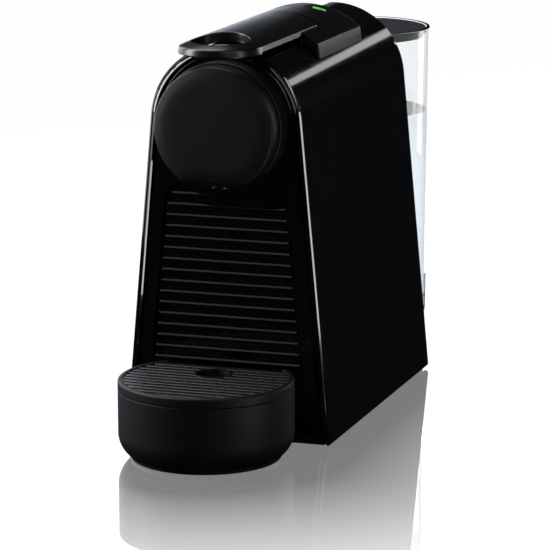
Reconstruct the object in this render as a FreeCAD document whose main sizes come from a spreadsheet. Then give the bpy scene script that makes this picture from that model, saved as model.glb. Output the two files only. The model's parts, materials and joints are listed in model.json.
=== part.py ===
import FreeCAD, Part
import math
import os
from types import SimpleNamespace

import Sketcher

# A pod coffee machine: an arched sleeve with a brewing head, a drip tray and a clear water tank.
# Millimetres. +Z is up, the machine faces -Y, and the origin is under the middle of the whole machine.
# Depths are measured back from the sleeve's front edge and turned into Y by the function back().

SIZES = {
    # Sleeve
    "arch_radius": 40.0,
    "arch_height": 162.5,
    "side_lean": 5.26,
    "shell_depth": 181.0,
    "shell_wall": 3.0,
    "shell_lift": 1.5,
    "slot_half": 19.5,
    "slot_front": 12.0,
    "slot_back": 46.0,
    "bay_half": 23.5,
    "bay_lead": 5.6,
    "bay_tail": 3.4,
    # Clearances
    "fit_gap": 0.2,
    "run_gap": 0.4,
    "pin_gap": 0.05,
    # Front plate and ribbed panel
    "plate_recess": 0.8,
    "plate_wall": 2.5,
    "panel_inset": 11.3,
    "panel_drop": 1.5,
    "panel_corner": 5.0,
    "panel_gap": 0.5,
    "panel_face": 2.0,
    "panel_wall": 2.4,
    "rib_count": 16.0,
    "rib_low": 41.2,
    "rib_pitch": 5.67,
    "rib_height": 1.8,
    "rib_rise": 1.5,
    "rib_margin": 2.5,
    # Brewing head
    "ring_inset": 4.3,
    "ring_front": 9.0,
    "ring_drop": 23.0,
    "ring_edge": 0.8,
    "cap_step": 1.2,
    "cap_front": 20.0,
    "cap_drop": 3.5,
    "cap_edge": 2.3,
    "cap_groove": 0.6,
    "head_wall": 2.5,
    "spigot_length": 5.0,
    # Coffee spout
    "chin_half": 15.0,
    "chin_drop": 3.5,
    "chin_front": 12.0,
    "chin_back": 1.0,
    "nozzle_radius": 5.0,
    "nozzle_drop": 0.9,
    "nozzle_bore": 3.5,
    "duct_half": 7.0,
    "duct_front": 6.0,
    # Hood and lever
    "hood_rise": 5.5,
    "hood_half": 30.4,
    "hood_front": 57.6,
    "hood_back": 130.4,
    "hood_wall": 2.5,
    "lever_gap": 0.6,
    "lever_half": 21.0,
    "lever_thick": 2.9,
    "lever_nose": 5.0,
    "eye_radius": 14.5,
    "eye_offset": 1.0,
    "hinge_depth": 78.0,
    "hinge_drop": 10.5,
    "rear_reach": 16.7,
    "rear_reach_side": 8.6,
    "lever_pin_radius": 1.5,
    "pin_seat": 4.4,
    "ear_in": 15.0,
    "ear_thick": 2.5,
    "ear_radius": 3.2,
    "crank_length": 15.5,
    # Buttons
    "button_apart": 20.0,
    "button_inset": 11.4,
    "button_long": 13.0,
    "button_short": 9.0,
    "button_sink": 0.2,
    "button_travel": 1.2,
    "button_gap": 0.3,
    "flange_rim": 1.2,
    "flange_thick": 1.4,
    "stem_button_radius": 2.0,
    "board_thick": 1.6,
    "board_drop": 17.4,
    "board_margin": 1.0,
    "post_radius": 1.8,
    "switch_side": 6.0,
    "switch_height": 4.0,
    "switch_plunger": 1.7,
    "switch_rise": 1.0,
    # Base and feet
    "foot_height": 1.5,
    "foot_radius": 7.0,
    "foot_front": 17.0,
    "foot_back_inset": 15.0,
    "foot_apart": 80.0,
    "base_thick": 4.5,
    "base_front": 0.8,
    "screw_radius": 1.5,
    "screw_head": 2.8,
    "screw_head_thick": 1.0,
    "screw_length": 14.0,
    "screw_front": 30.0,
    "screw_back_inset": 31.0,
    "screw_inset": 5.0,
    "boss_radius": 4.0,
    "boss_height": 20.0,
    # Drip tray and grid
    "tray_radius": 44.0,
    "tray_centre": 30.9,
    "tray_flat": 3.0,
    "tray_lift": 0.3,
    "tray_foot_inset": 0.9,
    "tray_foot_height": 2.0,
    "tray_round": 13.8,
    "tray_sweep": 53.0,
    "tray_wall": 2.2,
    "tray_top": 35.1,
    "grid_rim": 4.9,
    "grid_band": 2.6,
    "grid_edge": 1.2,
    "slat_start": 7.1,
    "slat_count": 12.0,
    "slat_pitch": 5.4,
    "slat_thick": 2.8,
    "slat_height": 3.0,
    "slat_sink": 0.5,
    "brace_apart": 36.0,
    "brace_thick": 2.0,
    "drain_radius": 8.6,
    "drain_depth": 19.3,
    "drain_rim": 1.5,
    # Capsule container
    "bin_gap": 1.2,
    "bin_room": 10.0,
    "bin_drop": 5.0,
    "bin_wall": 1.8,
    "tongue_thick": 2.0,
    "tongue_rail": 2.0,
    "tongue_rail_height": 4.5,
    # Brewing unit
    "brew_drop": 2.5,
    "plate_radius": 20.0,
    "plate_thick": 4.5,
    "hub_radius": 10.0,
    "hub_bore": 3.0,
    "cage_gap": 1.0,
    "cage_radius": 21.5,
    "cage_bore": 18.6,
    "cage_depth": 31.0,
    "cage_back_wall": 4.0,
    "cage_stem_radius": 5.0,
    "needle_radius": 1.2,
    "needle_length": 4.0,
    "needle_ring": 8.0,
    "needle_count": 3.0,
    "pivot_reach": 11.5,
    "pivot_inset": 4.0,
    "pivot_radius": 2.0,
    "lug_width": 9.0,
    "lug_thick": 2.4,
    "link_thick": 2.5,
    "link_width": 7.0,
    "link_gap": 0.5,
    "frame_gap": 3.5,
    "frame_thick": 3.0,
    "frame_below": 20.0,
    "frame_clear": 1.2,
    "tie_inset": 8.0,
    "tie_rise": 5.0,
    "tie_radius": 2.5,
    "rear_room": 67.0,
    "bulkhead_wall": 3.0,
    "bulkhead_hole": 8.0,
    "block_half": 13.0,
    "block_side": 24.0,
    "block_thick": 7.0,
    "block_below": 8.5,
    "block_above": 20.0,
    "seal_radius": 8.0,
    "seal_thick": 2.0,
    # Pump, heater and hoses
    "pump_clear": 1.5,
    "pump_low": 36.0,
    "pump_high": 104.0,
    "pump_radius": 11.0,
    "coil_side": 33.0,
    "coil_height": 34.0,
    "mount_radius": 15.0,
    "mount_height": 8.0,
    "mount_inset": 4.0,
    "shelf_rim": 1.2,
    "shelf_thick": 4.0,
    "heater_width": 36.0,
    "heater_clear": 1.1,
    "heater_gap": 5.0,
    "heater_thick": 20.0,
    "heater_height": 46.0,
    "heater_drop": 1.5,
    "heater_boss": 4.0,
    "heater_fin": 2.0,
    "heater_fin_rise": 3.0,
    "heater_fin_count": 5.0,
    "meter_radius": 13.0,
    "meter_height": 16.0,
    "barb_radius": 2.5,
    "barb_length": 5.0,
    "hose_radius": 4.0,
    "hose_height": 12.0,
    "suction_bend": 6.0,
    "pressure_rise": 22.0,
    "pressure_side": 10.0,
    "pressure_bend": 8.0,
    "brew_hose_side": 18.0,
    "outlet_inset": 6.0,
    "brew_hose_rise": 12.0,
    "brew_bend": 6.4,
    # Rear cover and boards
    "cover_back": 0.5,
    "cover_wall": 2.5,
    "vent_count": 6.0,
    "vent_low": 60.0,
    "vent_pitch": 6.0,
    "vent_height": 2.4,
    "vent_half": 22.0,
    "gland_side": 39.5,
    "gland_height": 22.0,
    "gland_radius": 6.0,
    "gland_flange": 8.0,
    "gland_flange_thick": 2.0,
    "gland_bore": 3.4,
    "main_board_half": 28.0,
    "main_board_low": 102.0,
    "main_board_high": 152.0,
    "main_board_stand": 4.0,
    "stand_radius": 2.0,
    "relay_width": 15.0,
    "relay_height": 18.0,
    "relay_rise": 7.0,
    "capacitor_radius": 5.0,
    # Water tank
    "tank_radius": 43.65,
    "tank_set": 30.7,
    "tank_gap": 1.3,
    "tank_draft": 2.0,
    "tank_low": 22.5,
    "tank_rim": 185.5,
    "tank_wall": 2.0,
    "outlet_radius": 9.0,
    "outlet_bore": 6.5,
    "outlet_low": 12.0,
    "valve_disc": 8.2,
    "valve_thick": 2.0,
    "valve_stem": 2.5,
    "socket_wall": 2.4,
    "socket_floor": 2.0,
    "socket_top": 15.0,
    "socket_pin": 2.0,
    "stand_inset": 0.3,
    "stand_wall": 2.0,
    "lid_drop": 0.5,
    "lid_thick": 2.2,
    "lid_skirt": 2.6,
    "lid_skirt_inset": 1.6,
    "lid_gap": 0.5,
    "lid_axis_in": 3.2,
    "lid_axis_rise": 0.8,
    "lid_pin_radius": 1.0,
    "lid_knuckle": 2.2,
    "lid_knuckle_half": 14.0,
    "lid_ear_thick": 3.0,
    "lid_ear_radius": 2.4,
    "notch_radius": 9.0,
    "notch_bite": 2.5,
}


class Size:
    """A length or an angle: its value now, and the sheet formula that gives it."""

    def __init__(self, value, text):
        self.value = value
        self.text = text

    def __add__(self, other):
        other = size(other)
        return Size(self.value + other.value, f"({self.text} + {other.text})")

    def __radd__(self, other):
        return size(other) + self

    def __sub__(self, other):
        other = size(other)
        return Size(self.value - other.value, f"({self.text} - {other.text})")

    def __rsub__(self, other):
        return size(other) - self

    def __mul__(self, other):
        other = size(other)
        return Size(self.value * other.value, f"({self.text} * {other.text})")

    def __rmul__(self, other):
        return size(other) * self

    def __truediv__(self, other):
        other = size(other)
        return Size(self.value / other.value, f"({self.text} / {other.text})")

    def __neg__(self):
        return 0 - self


def size(term):
    return term if isinstance(term, Size) else Size(float(term), f"{float(term):.6f}")


def root(term):
    return Size(math.sqrt(term.value), f"sqrt({term.text})")


def sine(angle):
    return Size(math.sin(math.radians(angle.value)), f"sin({angle.text})")


def cosine(angle):
    return Size(math.cos(math.radians(angle.value)), f"cos({angle.text})")


doc = FreeCAD.newDocument("pod_coffee_machine")
sheet = doc.addObject("Spreadsheet::Sheet", "dims")
for row, (alias, value) in enumerate(SIZES.items(), start=1):
    sheet.set(f"A{row}", alias)
    sheet.set(f"B{row}", str(value))
    sheet.setAlias(f"B{row}", alias)
doc.recompute()
d = SimpleNamespace(**{alias: Size(float(sheet.get(alias)), f"dims.{alias}") for alias in SIZES})
nodes = []

X_AXIS = FreeCAD.Vector(1, 0, 0)
Y_AXIS = FreeCAD.Vector(0, 1, 0)
Z_AXIS = FreeCAD.Vector(0, 0, 1)
UPRIGHT = FreeCAD.Rotation()
ALONG_X = FreeCAD.Rotation(Y_AXIS, 90)
ALONG_Y = FreeCAD.Rotation(X_AXIS, -90)
FORWARD = FreeCAD.Rotation(X_AXIS, 90)
TURNED = FreeCAD.Rotation(Z_AXIS, 180)

# Cutting blocks reach FAR past everything, and cuts run OVER past the faces that they open
FAR = 400.0
OVER = 1.0


def leaning_half(radius, height):
    """Half the width at a height, between sides that lean like the sleeve's under an arch of this radius."""
    return (radius + (d.arch_height - height) * sine(d.side_lean)) / cosine(d.side_lean)


# Places and sizes that follow from the driving ones: sleeve and head
arch_top = d.arch_height + d.arch_radius
inner_radius = d.arch_radius - d.shell_wall - d.fit_gap
base_top = d.foot_height + d.base_thick
base_half = leaning_half(inner_radius, base_top)
d.ring_radius = inner_radius - d.ring_inset
d.ring_flat = d.arch_height - d.ring_drop
d.cap_radius = d.ring_radius - d.cap_step
d.cap_flat = d.ring_flat - d.cap_drop
d.chin_low = d.cap_flat - d.chin_drop
d.panel_top = d.chin_low - d.panel_drop
# Hood, lever and buttons
hood_radius = d.arch_radius + d.hood_rise
hinge_height = d.arch_height + hood_radius - d.hinge_drop
d.lever_pin_half = d.lever_half + d.lever_gap + d.pin_seat
d.bay_front = d.hood_front - d.bay_lead
d.bay_back = d.hood_back - d.bay_tail
d.button_depth = d.hood_back - d.button_inset
d.board_half = d.bay_half - d.board_margin
# Base, drawer and tank
d.foot_back = d.shell_depth - d.foot_back_inset
d.screw_back = d.shell_depth - d.screw_back_inset
d.bulkhead_front = d.shell_depth - d.rear_room
d.bin_top = d.panel_top - d.bin_drop
d.bin_back = d.bulkhead_front - d.bin_room
d.bin_half = leaning_half(d.arch_radius - d.panel_inset, d.bin_top) - d.bin_gap
d.tank_front = d.shell_depth + d.tank_gap
d.tank_centre = d.tank_front + d.tank_set
tank_foot = d.tank_radius - d.tank_draft
socket_radius = d.outlet_radius + d.run_gap + d.socket_wall
front_y = (d.tray_centre + d.tray_radius - d.tank_centre - d.tank_radius) / 2
# Brewing unit
d.brew_height = d.arch_height - d.brew_drop
d.cage_front = d.plate_recess + d.plate_wall + d.fit_gap + d.plate_thick + d.cage_gap
cage_wall = d.cage_front + d.cage_depth
d.pivot_front = cage_wall + d.cage_back_wall + d.pivot_reach
d.pivot_back = d.bulkhead_front - d.pivot_inset
knee = (d.pivot_front + d.pivot_back) / 2
lug_start = d.cage_stem_radius + d.fit_gap
link_start = lug_start + d.lug_thick + d.link_gap / 2
rear_link_start = link_start + d.link_thick + d.link_gap
d.frame_half = d.cage_radius + d.frame_gap
d.frame_low = d.brew_height - d.frame_below
frame_out = d.frame_half + d.frame_thick
frame_reach = inner_radius - d.frame_clear
d.frame_high = d.arch_height + root(frame_reach * frame_reach - frame_out * frame_out)
d.tie_depth = d.bulkhead_front - d.tie_inset
d.tie_height = d.frame_low + d.tie_rise
block_start = d.bulkhead_front + d.bulkhead_wall
block_end = block_start + d.block_thick
d.cage_stem_back = block_end + d.seal_thick
d.block_low = d.brew_height - d.block_below
d.block_high = d.brew_height + d.block_above
d.brew_hose_height = d.brew_height + d.brew_hose_rise
# Pump and heater
cover_front = d.shell_depth - d.cover_back - d.cover_wall
d.coil_low = (d.pump_low + d.pump_high - d.coil_height) / 2
d.coil_high = d.coil_low + d.coil_height
d.pump_side = d.coil_side / 2 + d.pump_clear - leaning_half(inner_radius, d.coil_high)
d.pump_depth = cover_front - d.coil_side / 2 - d.pump_clear
d.pressure_height = d.pump_high + d.pressure_rise
d.heater_high = d.block_low - d.heater_drop
d.heater_low = d.heater_high - d.heater_height
d.heater_right = leaning_half(inner_radius, d.heater_high) - d.heater_fin_rise - d.heater_clear
d.heater_left = d.heater_right - d.heater_width
d.heater_front = block_start + d.heater_gap
d.heater_back = d.heater_front + d.heater_thick
d.brew_hose_depth = d.heater_back - d.outlet_inset
meter_barb = base_top + d.meter_height / 2
bore_radius = d.barb_radius + d.pin_gap


def back(depth):
    """Y of a place that lies this far behind the sleeve's front edge."""
    return front_y + depth


def span(side, inner, outer):
    """The two X limits of a piece that lies on one side, lower one first."""
    return (inner, outer) if side > 0 else (-outer, -inner)


def bind(thing, **sizes):
    for name, value in sizes.items():
        thing.setExpression(name, size(value).text)


def place(thing, x, y, z, turn=UPRIGHT):
    thing.Placement = FreeCAD.Placement(FreeCAD.Vector(), turn)
    for axis, value in (("x", x), ("y", y), ("z", z)):
        thing.setExpression(f"Placement.Base.{axis}", size(value).text)
    return thing


def box(x0, x1, y0, y1, z0, z1):
    thing = doc.addObject("Part::Box", "block")
    bind(thing, Length=x1 - size(x0), Width=y1 - size(y0), Height=z1 - size(z0))
    return place(thing, x0, y0, z0)


def round_bar(radius, start, length, turn):
    thing = doc.addObject("Part::Cylinder", "bar")
    bind(thing, Radius=radius, Height=length)
    return place(thing, *start, turn)


def bar_x(radius, x0, x1, y, z):
    return round_bar(radius, (x0, y, z), x1 - size(x0), ALONG_X)


def bar_y(radius, x, y0, y1, z):
    return round_bar(radius, (x, y0, z), y1 - size(y0), ALONG_Y)


def bar_z(radius, x, y, z0, z1):
    return round_bar(radius, (x, y, z0), z1 - size(z0), UPRIGHT)


def joined(kind, base, tool):
    thing = doc.addObject(kind, kind.split("::")[1].lower())
    thing.Base = base
    thing.Tool = tool
    return thing


def fuse(*things):
    thing = doc.addObject("Part::MultiFuse", "fuse")
    thing.Shapes = list(things)
    thing.Refine = True
    return thing


def cut(base, *tools):
    return joined("Part::Cut", base, tools[0] if len(tools) == 1 else fuse(*tools))


def common(base, tool):
    return joined("Part::Common", base, tool)


def group(*things):
    thing = doc.addObject("Part::Compound", "group")
    thing.Links = list(things)
    return thing


def node(name, thing):
    thing.Label = name
    nodes.append(thing)
    return thing


def arc_between(start, end, radius):
    """An arc that turns left from start to end, less than half a circle."""
    middle = (start + end) / 2
    chord = end - start
    side = FreeCAD.Vector(-chord.y, chord.x, 0).normalize()
    centre = middle + side * math.sqrt(radius ** 2 - (chord.Length / 2) ** 2)
    angles = [math.atan2(point.y - centre.y, point.x - centre.x) for point in (start, end)]
    return Part.ArcOfCircle(Part.Circle(centre, Z_AXIS, radius), *angles)


def sketch_on(body, role, outline):
    """A closed sketch through (x, y) or (x, y, radius) points; a radius bends the stretch that follows."""
    sketch = body.newObject("Sketcher::SketchObject", "sketch")
    plane = [feature for feature in body.Origin.OriginFeatures if feature.Role == role][0]
    sketch.AttachmentSupport = [(plane, "")]
    sketch.MapMode = "FlatFace"
    corners = [FreeCAD.Vector(size(point[0]).value, size(point[1]).value, 0) for point in outline]
    for index, point in enumerate(outline):
        start, end = corners[index], corners[(index + 1) % len(corners)]
        if len(point) == 3:
            sketch.addGeometry(arc_between(start, end, size(point[2]).value), False)
        else:
            sketch.addGeometry(Part.LineSegment(start, end), False)
    for index in range(len(outline)):
        following = (index + 1) % len(outline)
        sketch.addConstraint(Sketcher.Constraint("Coincident", index, 2, following, 1))
    for index, point in enumerate(outline):
        limits = [("DistanceX", 1, point[0]), ("DistanceY", 1, point[1])]
        limits += [("Radius", None, radius) for radius in point[2:]]
        for kind, end, value in limits:
            where = (index,) if end is None else (index, end)
            number = sketch.addConstraint(Sketcher.Constraint(kind, *where, size(value).value))
            sketch.setExpression(f"Constraints[{number}]", size(value).text)
    return sketch


def padded(role, outline, length, reverse):
    body = doc.addObject("PartDesign::Body", "body")
    pad = body.newObject("PartDesign::Pad", "pad")
    pad.Profile = sketch_on(body, role, outline)
    pad.Reversed = reverse
    bind(pad, Length=length)
    return body


def prism_y(outline, y0, y1):
    """A prism along Y from an outline in X and Z."""
    return place(padded("XZ_Plane", outline, y1 - size(y0), True), 0, y0, 0)


def prism_z(outline, z0, z1, x=0, y=0):
    """A prism along Z from an outline in X and Y about the point (x, y)."""
    return place(padded("XY_Plane", outline, z1 - size(z0), False), x, y, z0)


def spun(outline, x, y, z, turn=UPRIGHT):
    """A solid of revolution from an outline of radii and heights."""
    body = doc.addObject("PartDesign::Body", "body")
    revolution = body.newObject("PartDesign::Revolution", "revolution")
    sketch = sketch_on(body, "XZ_Plane", outline)
    revolution.Profile = sketch
    revolution.ReferenceAxis = (sketch, ["V_Axis"])
    return place(body, x, y, z, turn)


def arch_outline(radius, low):
    """The sleeve's section: leaning sides under a round arch, for an arch of this radius."""
    half = leaning_half(radius, low)
    side = radius * cosine(d.side_lean)
    spring = d.arch_height + radius * sine(d.side_lean)
    return [(-half, low), (half, low), (side, spring, radius), (-side, spring)]


def panel_outline(grow, low):
    """The ribbed panel's outline, parallel to the sleeve's sides, with cut top corners."""
    radius = d.arch_radius - d.panel_inset + grow
    top = d.panel_top + grow
    shoulder = top - d.panel_corner
    half = leaning_half(radius, shoulder)
    right = [(leaning_half(radius, low), low), (half, shoulder), (half - d.panel_corner, top)]
    return right + [(-x, z) for x, z in reversed(right)]


def oval(grow):
    """A button's outline: a slot shape with round ends, long across the machine."""
    radius = d.button_short / 2 + grow
    straight = (d.button_long - d.button_short) / 2
    return [
        (-straight, -radius),
        (straight, -radius, radius),
        (straight + radius, 0, radius),
        (straight, radius),
        (-straight, radius, radius),
        (-straight - radius, 0, radius),
    ]


def drum(radius, flat, edge, back_depth, length):
    """A disc that faces forward, with a rounded front edge and a flat cut across its lower part."""
    outline = [(0, 0), (radius, 0), (radius, length - edge, edge), (radius - edge, length), (0, length)]
    disc = spun(outline, 0, back(back_depth), d.arch_height, FORWARD)
    below = box(-radius * 2, radius * 2, -FAR, FAR, flat - radius * 2, flat)
    return cut(disc, below)


def barrel(grow):
    """The turned rear end of the lever, about its hinge line."""
    reach, side, half = d.rear_reach + grow, d.rear_reach_side + grow, d.lever_half + grow
    rise = reach - side
    bulge = (half * half + rise * rise) / (2 * rise)
    outline = [(0, -half), (side, -half, bulge), (reach, 0, bulge), (side, half), (0, half)]
    return spun(outline, 0, back(d.hinge_depth), hinge_height, ALONG_X)


def hose(points, bend, radius, bore):
    """A tube along straight runs joined by tangent arcs."""
    corners = [FreeCAD.Vector(*(size(value).value for value in point)) for point in points]
    turn = size(bend).value
    edges = []
    start = corners[0]
    for before, corner, after in zip(corners, corners[1:], corners[2:]):
        arriving = (corner - before).normalize()
        leaving = (after - corner).normalize()
        first = corner - arriving * turn
        last = corner + leaving * turn
        middle = corner + (leaving - arriving) * turn * (1 - math.sqrt(0.5))
        edges += [Part.LineSegment(start, first).toShape(), Part.Arc(first, middle, last).toShape()]
        start = last
    edges.append(Part.LineSegment(start, corners[-1]).toShape())
    path = Part.Wire(edges)
    along = (corners[1] - corners[0]).normalize()

    def tube(width):
        ring = Part.Wire(Part.Circle(corners[0], along, size(width).value).toShape())
        return path.makePipeShell([ring], True, False)

    thing = doc.addObject("Part::Feature", "hose")
    thing.Shape = tube(radius).cut(tube(bore))
    thing.Placement = FreeCAD.Placement()
    return thing


# Sleeve: the arched outer cover, with a capsule slot and a lever bay in its top
def outer_shell():
    start, end = back(0), back(d.shell_depth)
    outer = prism_y(arch_outline(d.arch_radius, d.shell_lift), start, end)
    hollow = prism_y(arch_outline(d.arch_radius - d.shell_wall, size(0)), start - OVER, end + OVER)
    slot = box(-d.slot_half, d.slot_half, back(d.slot_front), back(d.slot_back), d.arch_height, FAR)
    bay = box(-d.bay_half, d.bay_half, back(d.bay_front), back(d.bay_back), d.arch_height, FAR)
    bosses = [
        common(bar_z(d.boss_radius, x, y, base_top + d.fit_gap, base_top + d.boss_height), outer)
        for x, y in screw_places()
    ]
    bore_top = base_top + d.screw_length
    bores = [bar_z(d.screw_radius + d.pin_gap, x, y, 0, bore_top) for x, y in screw_places()]
    return node("outer_shell", cut(fuse(cut(outer, hollow, slot, bay), *bosses), *bores))


def screw_places():
    half = base_half - d.screw_inset
    return [(side * half, back(depth)) for side in (-1, 1) for depth in (d.screw_front, d.screw_back)]


# Front plate: closes the sleeve's front round the panel and carries the head
def face_plate():
    start, end = back(d.plate_recess), back(d.plate_recess + d.plate_wall)
    plate = prism_y(arch_outline(inner_radius, base_top + d.fit_gap), start, end)
    opening = prism_y(panel_outline(d.panel_gap, size(0)), start - OVER, end + OVER)
    hub = bar_y(d.hub_radius + d.fit_gap, 0, start - OVER, end + OVER, d.brew_height)
    return node("face_plate", cut(plate, opening, hub))


# Brewing head: a ring on the front plate and a cap in front of it
def head_ring():
    length = d.ring_front + d.plate_recess
    body = drum(d.ring_radius, d.ring_flat, d.ring_edge, d.plate_recess, length)
    radius, flat = d.ring_radius - d.head_wall, d.ring_flat + d.head_wall
    inner = drum(radius, flat, d.ring_edge, d.plate_recess + OVER, length + 2 * OVER)
    return node("head_ring", cut(body, inner, duct_slot()))


def duct_slot():
    """Room for the spout's duct through the floors of the ring and the cap."""
    gap = d.duct_half + d.fit_gap
    return box(-gap, gap, back(-d.duct_front - d.fit_gap), back(-d.chin_back + d.fit_gap), 0, d.brew_height)


def head_cap():
    length = d.cap_front - d.ring_front - d.cap_groove
    back_depth = -d.ring_front - d.cap_groove
    body = drum(d.cap_radius, d.cap_flat, d.cap_edge, back_depth, length)
    spigot_radius = d.ring_radius - d.head_wall - d.fit_gap
    spigot_flat = d.ring_flat + d.head_wall + d.fit_gap
    spigot_back = back_depth + d.spigot_length
    spigot = drum(spigot_radius, spigot_flat, d.ring_edge, spigot_back, d.spigot_length + d.head_wall)
    hollow_length = length + d.spigot_length + OVER - d.head_wall
    radius, flat = spigot_radius - d.head_wall, spigot_flat + d.head_wall
    hollow = drum(radius, flat, d.ring_edge, spigot_back + OVER, hollow_length)
    return node("head_cap", cut(fuse(body, spigot), hollow, duct_slot()))


# Coffee spout: the chin under the head, its nozzle and the duct up to the capsule plate
def coffee_spout():
    half, end, low = d.chin_half, back(-d.chin_back), d.chin_low
    under_cap = box(-half, half, back(-d.chin_front), end, low, d.cap_flat)
    under_ring = box(-half, half, back(-d.ring_front), end, low, d.ring_flat - d.fit_gap)
    duct_top = d.brew_height + d.hub_radius
    duct = box(-d.duct_half, d.duct_half, back(-d.duct_front), end, low, duct_top)
    nozzle_y = back(-(d.chin_front + d.chin_back) / 2)
    nozzle = bar_z(d.nozzle_radius, 0, nozzle_y, low - d.nozzle_drop, d.cap_flat)
    bore_y = back(-(d.duct_front + d.chin_back) / 2)
    bore = bar_z(d.nozzle_bore / 2, 0, bore_y, 0, d.brew_height)
    port = bar_y(d.hub_bore, 0, bore_y, back(0), d.brew_height)
    return node("coffee_spout", cut(fuse(under_cap, under_ring, duct, nozzle), bore, port))


# Hood: the raised cover behind the lever, with the button holes and the posts of the button board
def hood():
    start, end = back(d.hood_front), back(d.hood_back)

    def arch(radius):
        return bar_y(radius, 0, start, end, d.arch_height)

    sides = box(-d.hood_half, d.hood_half, start, end, d.arch_height, FAR)
    body = common(arch(hood_radius), sides)
    under = bar_y(d.arch_radius + d.fit_gap, 0, back(0), back(d.shell_depth), d.arch_height)
    pocket_half = d.hood_half - d.hood_wall
    pocket_front, _ = button_board_span()
    room = box(-pocket_half, pocket_half, back(pocket_front), end - d.hood_wall, d.arch_height, FAR)
    pocket = common(arch(hood_radius - d.hood_wall), room)
    notch_half = d.lever_half + d.lever_gap
    hinge_y = back(d.hinge_depth)
    notch = box(-notch_half, notch_half, start - OVER, hinge_y, d.arch_height, FAR)
    bore = bar_x(d.lever_pin_radius + d.pin_gap, -d.lever_pin_half, d.lever_pin_half, hinge_y, hinge_height)
    hole_top = d.arch_height + hood_radius + OVER
    hole_y = back(d.button_depth)
    holes = [prism_z(oval(d.button_gap), d.arch_height, hole_top, x, hole_y) for x in button_sides()]
    shaped = cut(body, under, pocket, notch, barrel(d.lever_gap), bore, *holes)
    ceiling = arch(hood_radius - d.hood_wall / 2)
    posts = [common(bar_z(d.post_radius, x, y, button_board_top(), FAR), ceiling) for x, y in post_places()]
    return node("hood", fuse(shaped, *posts))


def button_sides():
    return (-d.button_apart / 2, d.button_apart / 2)


def button_board_top():
    return d.arch_height + hood_radius - d.board_drop


def button_board_span():
    start = d.hinge_depth + d.rear_reach + d.lever_gap + d.hood_wall
    return start, d.bay_back - d.board_margin


def post_places():
    start, end = button_board_span()
    inset = d.post_radius + d.board_margin
    half = d.board_half - inset
    return [(side * half, back(depth)) for side in (-1, 1) for depth in (start + inset, end - inset)]


# Lever: a curved plate with a round nose and a finger eye, ears on its hinge pin and two cranks
def lever():
    plan_end = back(d.hinge_depth)
    nose_y = back(-d.lever_nose)
    far_end = back(d.hinge_depth + d.rear_reach + OVER)

    def dome(radius):
        ball = doc.addObject("Part::Sphere", "dome")
        ball.Angle3 = 180
        bind(ball, Radius=radius)
        place(ball, 0, nose_y, d.arch_height, TURNED)
        return fuse(ball, bar_y(radius, 0, nose_y, far_end, d.arch_height))

    skin = cut(dome(hood_radius), dome(hood_radius - d.lever_thick))
    nose = bar_z(d.lever_half, 0, nose_y, arch_top - d.hood_rise * 2, FAR)
    strip = box(-d.lever_half, d.lever_half, nose_y, plan_end, arch_top - d.hood_rise * 2, FAR)
    plan = fuse(nose, strip, common(barrel(size(0)), box(-FAR, FAR, plan_end, FAR, 0, FAR)))
    eye = bar_z(d.eye_radius, 0, back(-d.lever_nose - d.eye_offset), d.arch_height, FAR)
    plate = cut(common(skin, plan), eye)
    core = bar_y(hood_radius - d.lever_thick / 2, 0, nose_y, far_end, d.arch_height)
    ears = []
    for side in (-1, 1):
        x0, x1 = span(side, d.ear_in, d.ear_in + d.ear_thick)
        low = hinge_height - d.crank_length
        depth = (back(d.hinge_depth - d.ear_radius), back(d.hinge_depth + d.ear_radius))
        ears.append(common(box(x0, x1, *depth, low, FAR), core))
    bore = bar_x(d.lever_pin_radius + d.pin_gap, -FAR, FAR, back(d.hinge_depth), hinge_height)
    return node("lever", cut(fuse(plate, *ears), bore))


def lever_pin():
    half = d.lever_pin_half - d.fit_gap
    return node("lever_pin", bar_x(d.lever_pin_radius, -half, half, back(d.hinge_depth), hinge_height))


# Buttons: oval caps flush with the hood, a flange under it and a stem over each switch
def button(name, x):
    y = back(d.button_depth)
    reach = (d.button_apart + d.button_long) / 2 + d.flange_rim
    under_hood = hood_radius - d.hood_wall
    flange_top = d.arch_height + root(under_hood * under_hood - reach * reach) - d.run_gap
    stem_low = button_board_top() + d.switch_height + d.switch_rise + d.button_travel + d.fit_gap
    cap = common(
        prism_z(oval(size(0)), flange_top - d.flange_thick, FAR, x, y),
        bar_y(hood_radius - d.button_sink, 0, back(d.hood_front), back(d.hood_back), d.arch_height),
    )
    flange = prism_z(oval(d.flange_rim), flange_top - d.flange_thick, flange_top, x, y)
    stem = bar_z(d.stem_button_radius, x, y, stem_low, flange_top)
    return node(name, fuse(cap, flange, stem))


def button_board():
    start, end = button_board_span()
    top = button_board_top()
    return node(
        "button_board",
        box(-d.board_half, d.board_half, back(start), back(end), top - d.board_thick, top),
    )


def button_switches():
    low = button_board_top()
    half = d.switch_side / 2
    y = back(d.button_depth)
    made = []
    for x in button_sides():
        case = box(x - half, x + half, y - half, y + half, low, low + d.switch_height)
        made.append(fuse(case, bar_z(d.switch_plunger, x, y, low, low + d.switch_height + d.switch_rise)))
    return node("button_switches", group(*made))


# Base: the floor plate, its feet and screws
def tank_round(radius, front, z0, z1):
    """A D shape under or in the tank: a disc about the tank's centre, cut flat at its front."""
    disc = bar_z(radius, 0, back(d.tank_centre), z0, z1)
    return cut(disc, box(-FAR, FAR, -FAR, back(front), -FAR, FAR))


def base_plate():
    floor = box(-base_half, base_half, back(d.base_front), back(d.shell_depth), d.foot_height, base_top)
    shelf = tank_round(tank_foot, d.shell_depth - d.base_thick, d.foot_height, base_top)
    holes = [bar_z(d.screw_radius + d.pin_gap, x, y, 0, base_top + OVER) for x, y in screw_places()]
    return node("base_plate", cut(fuse(floor, shelf), *holes))


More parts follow.
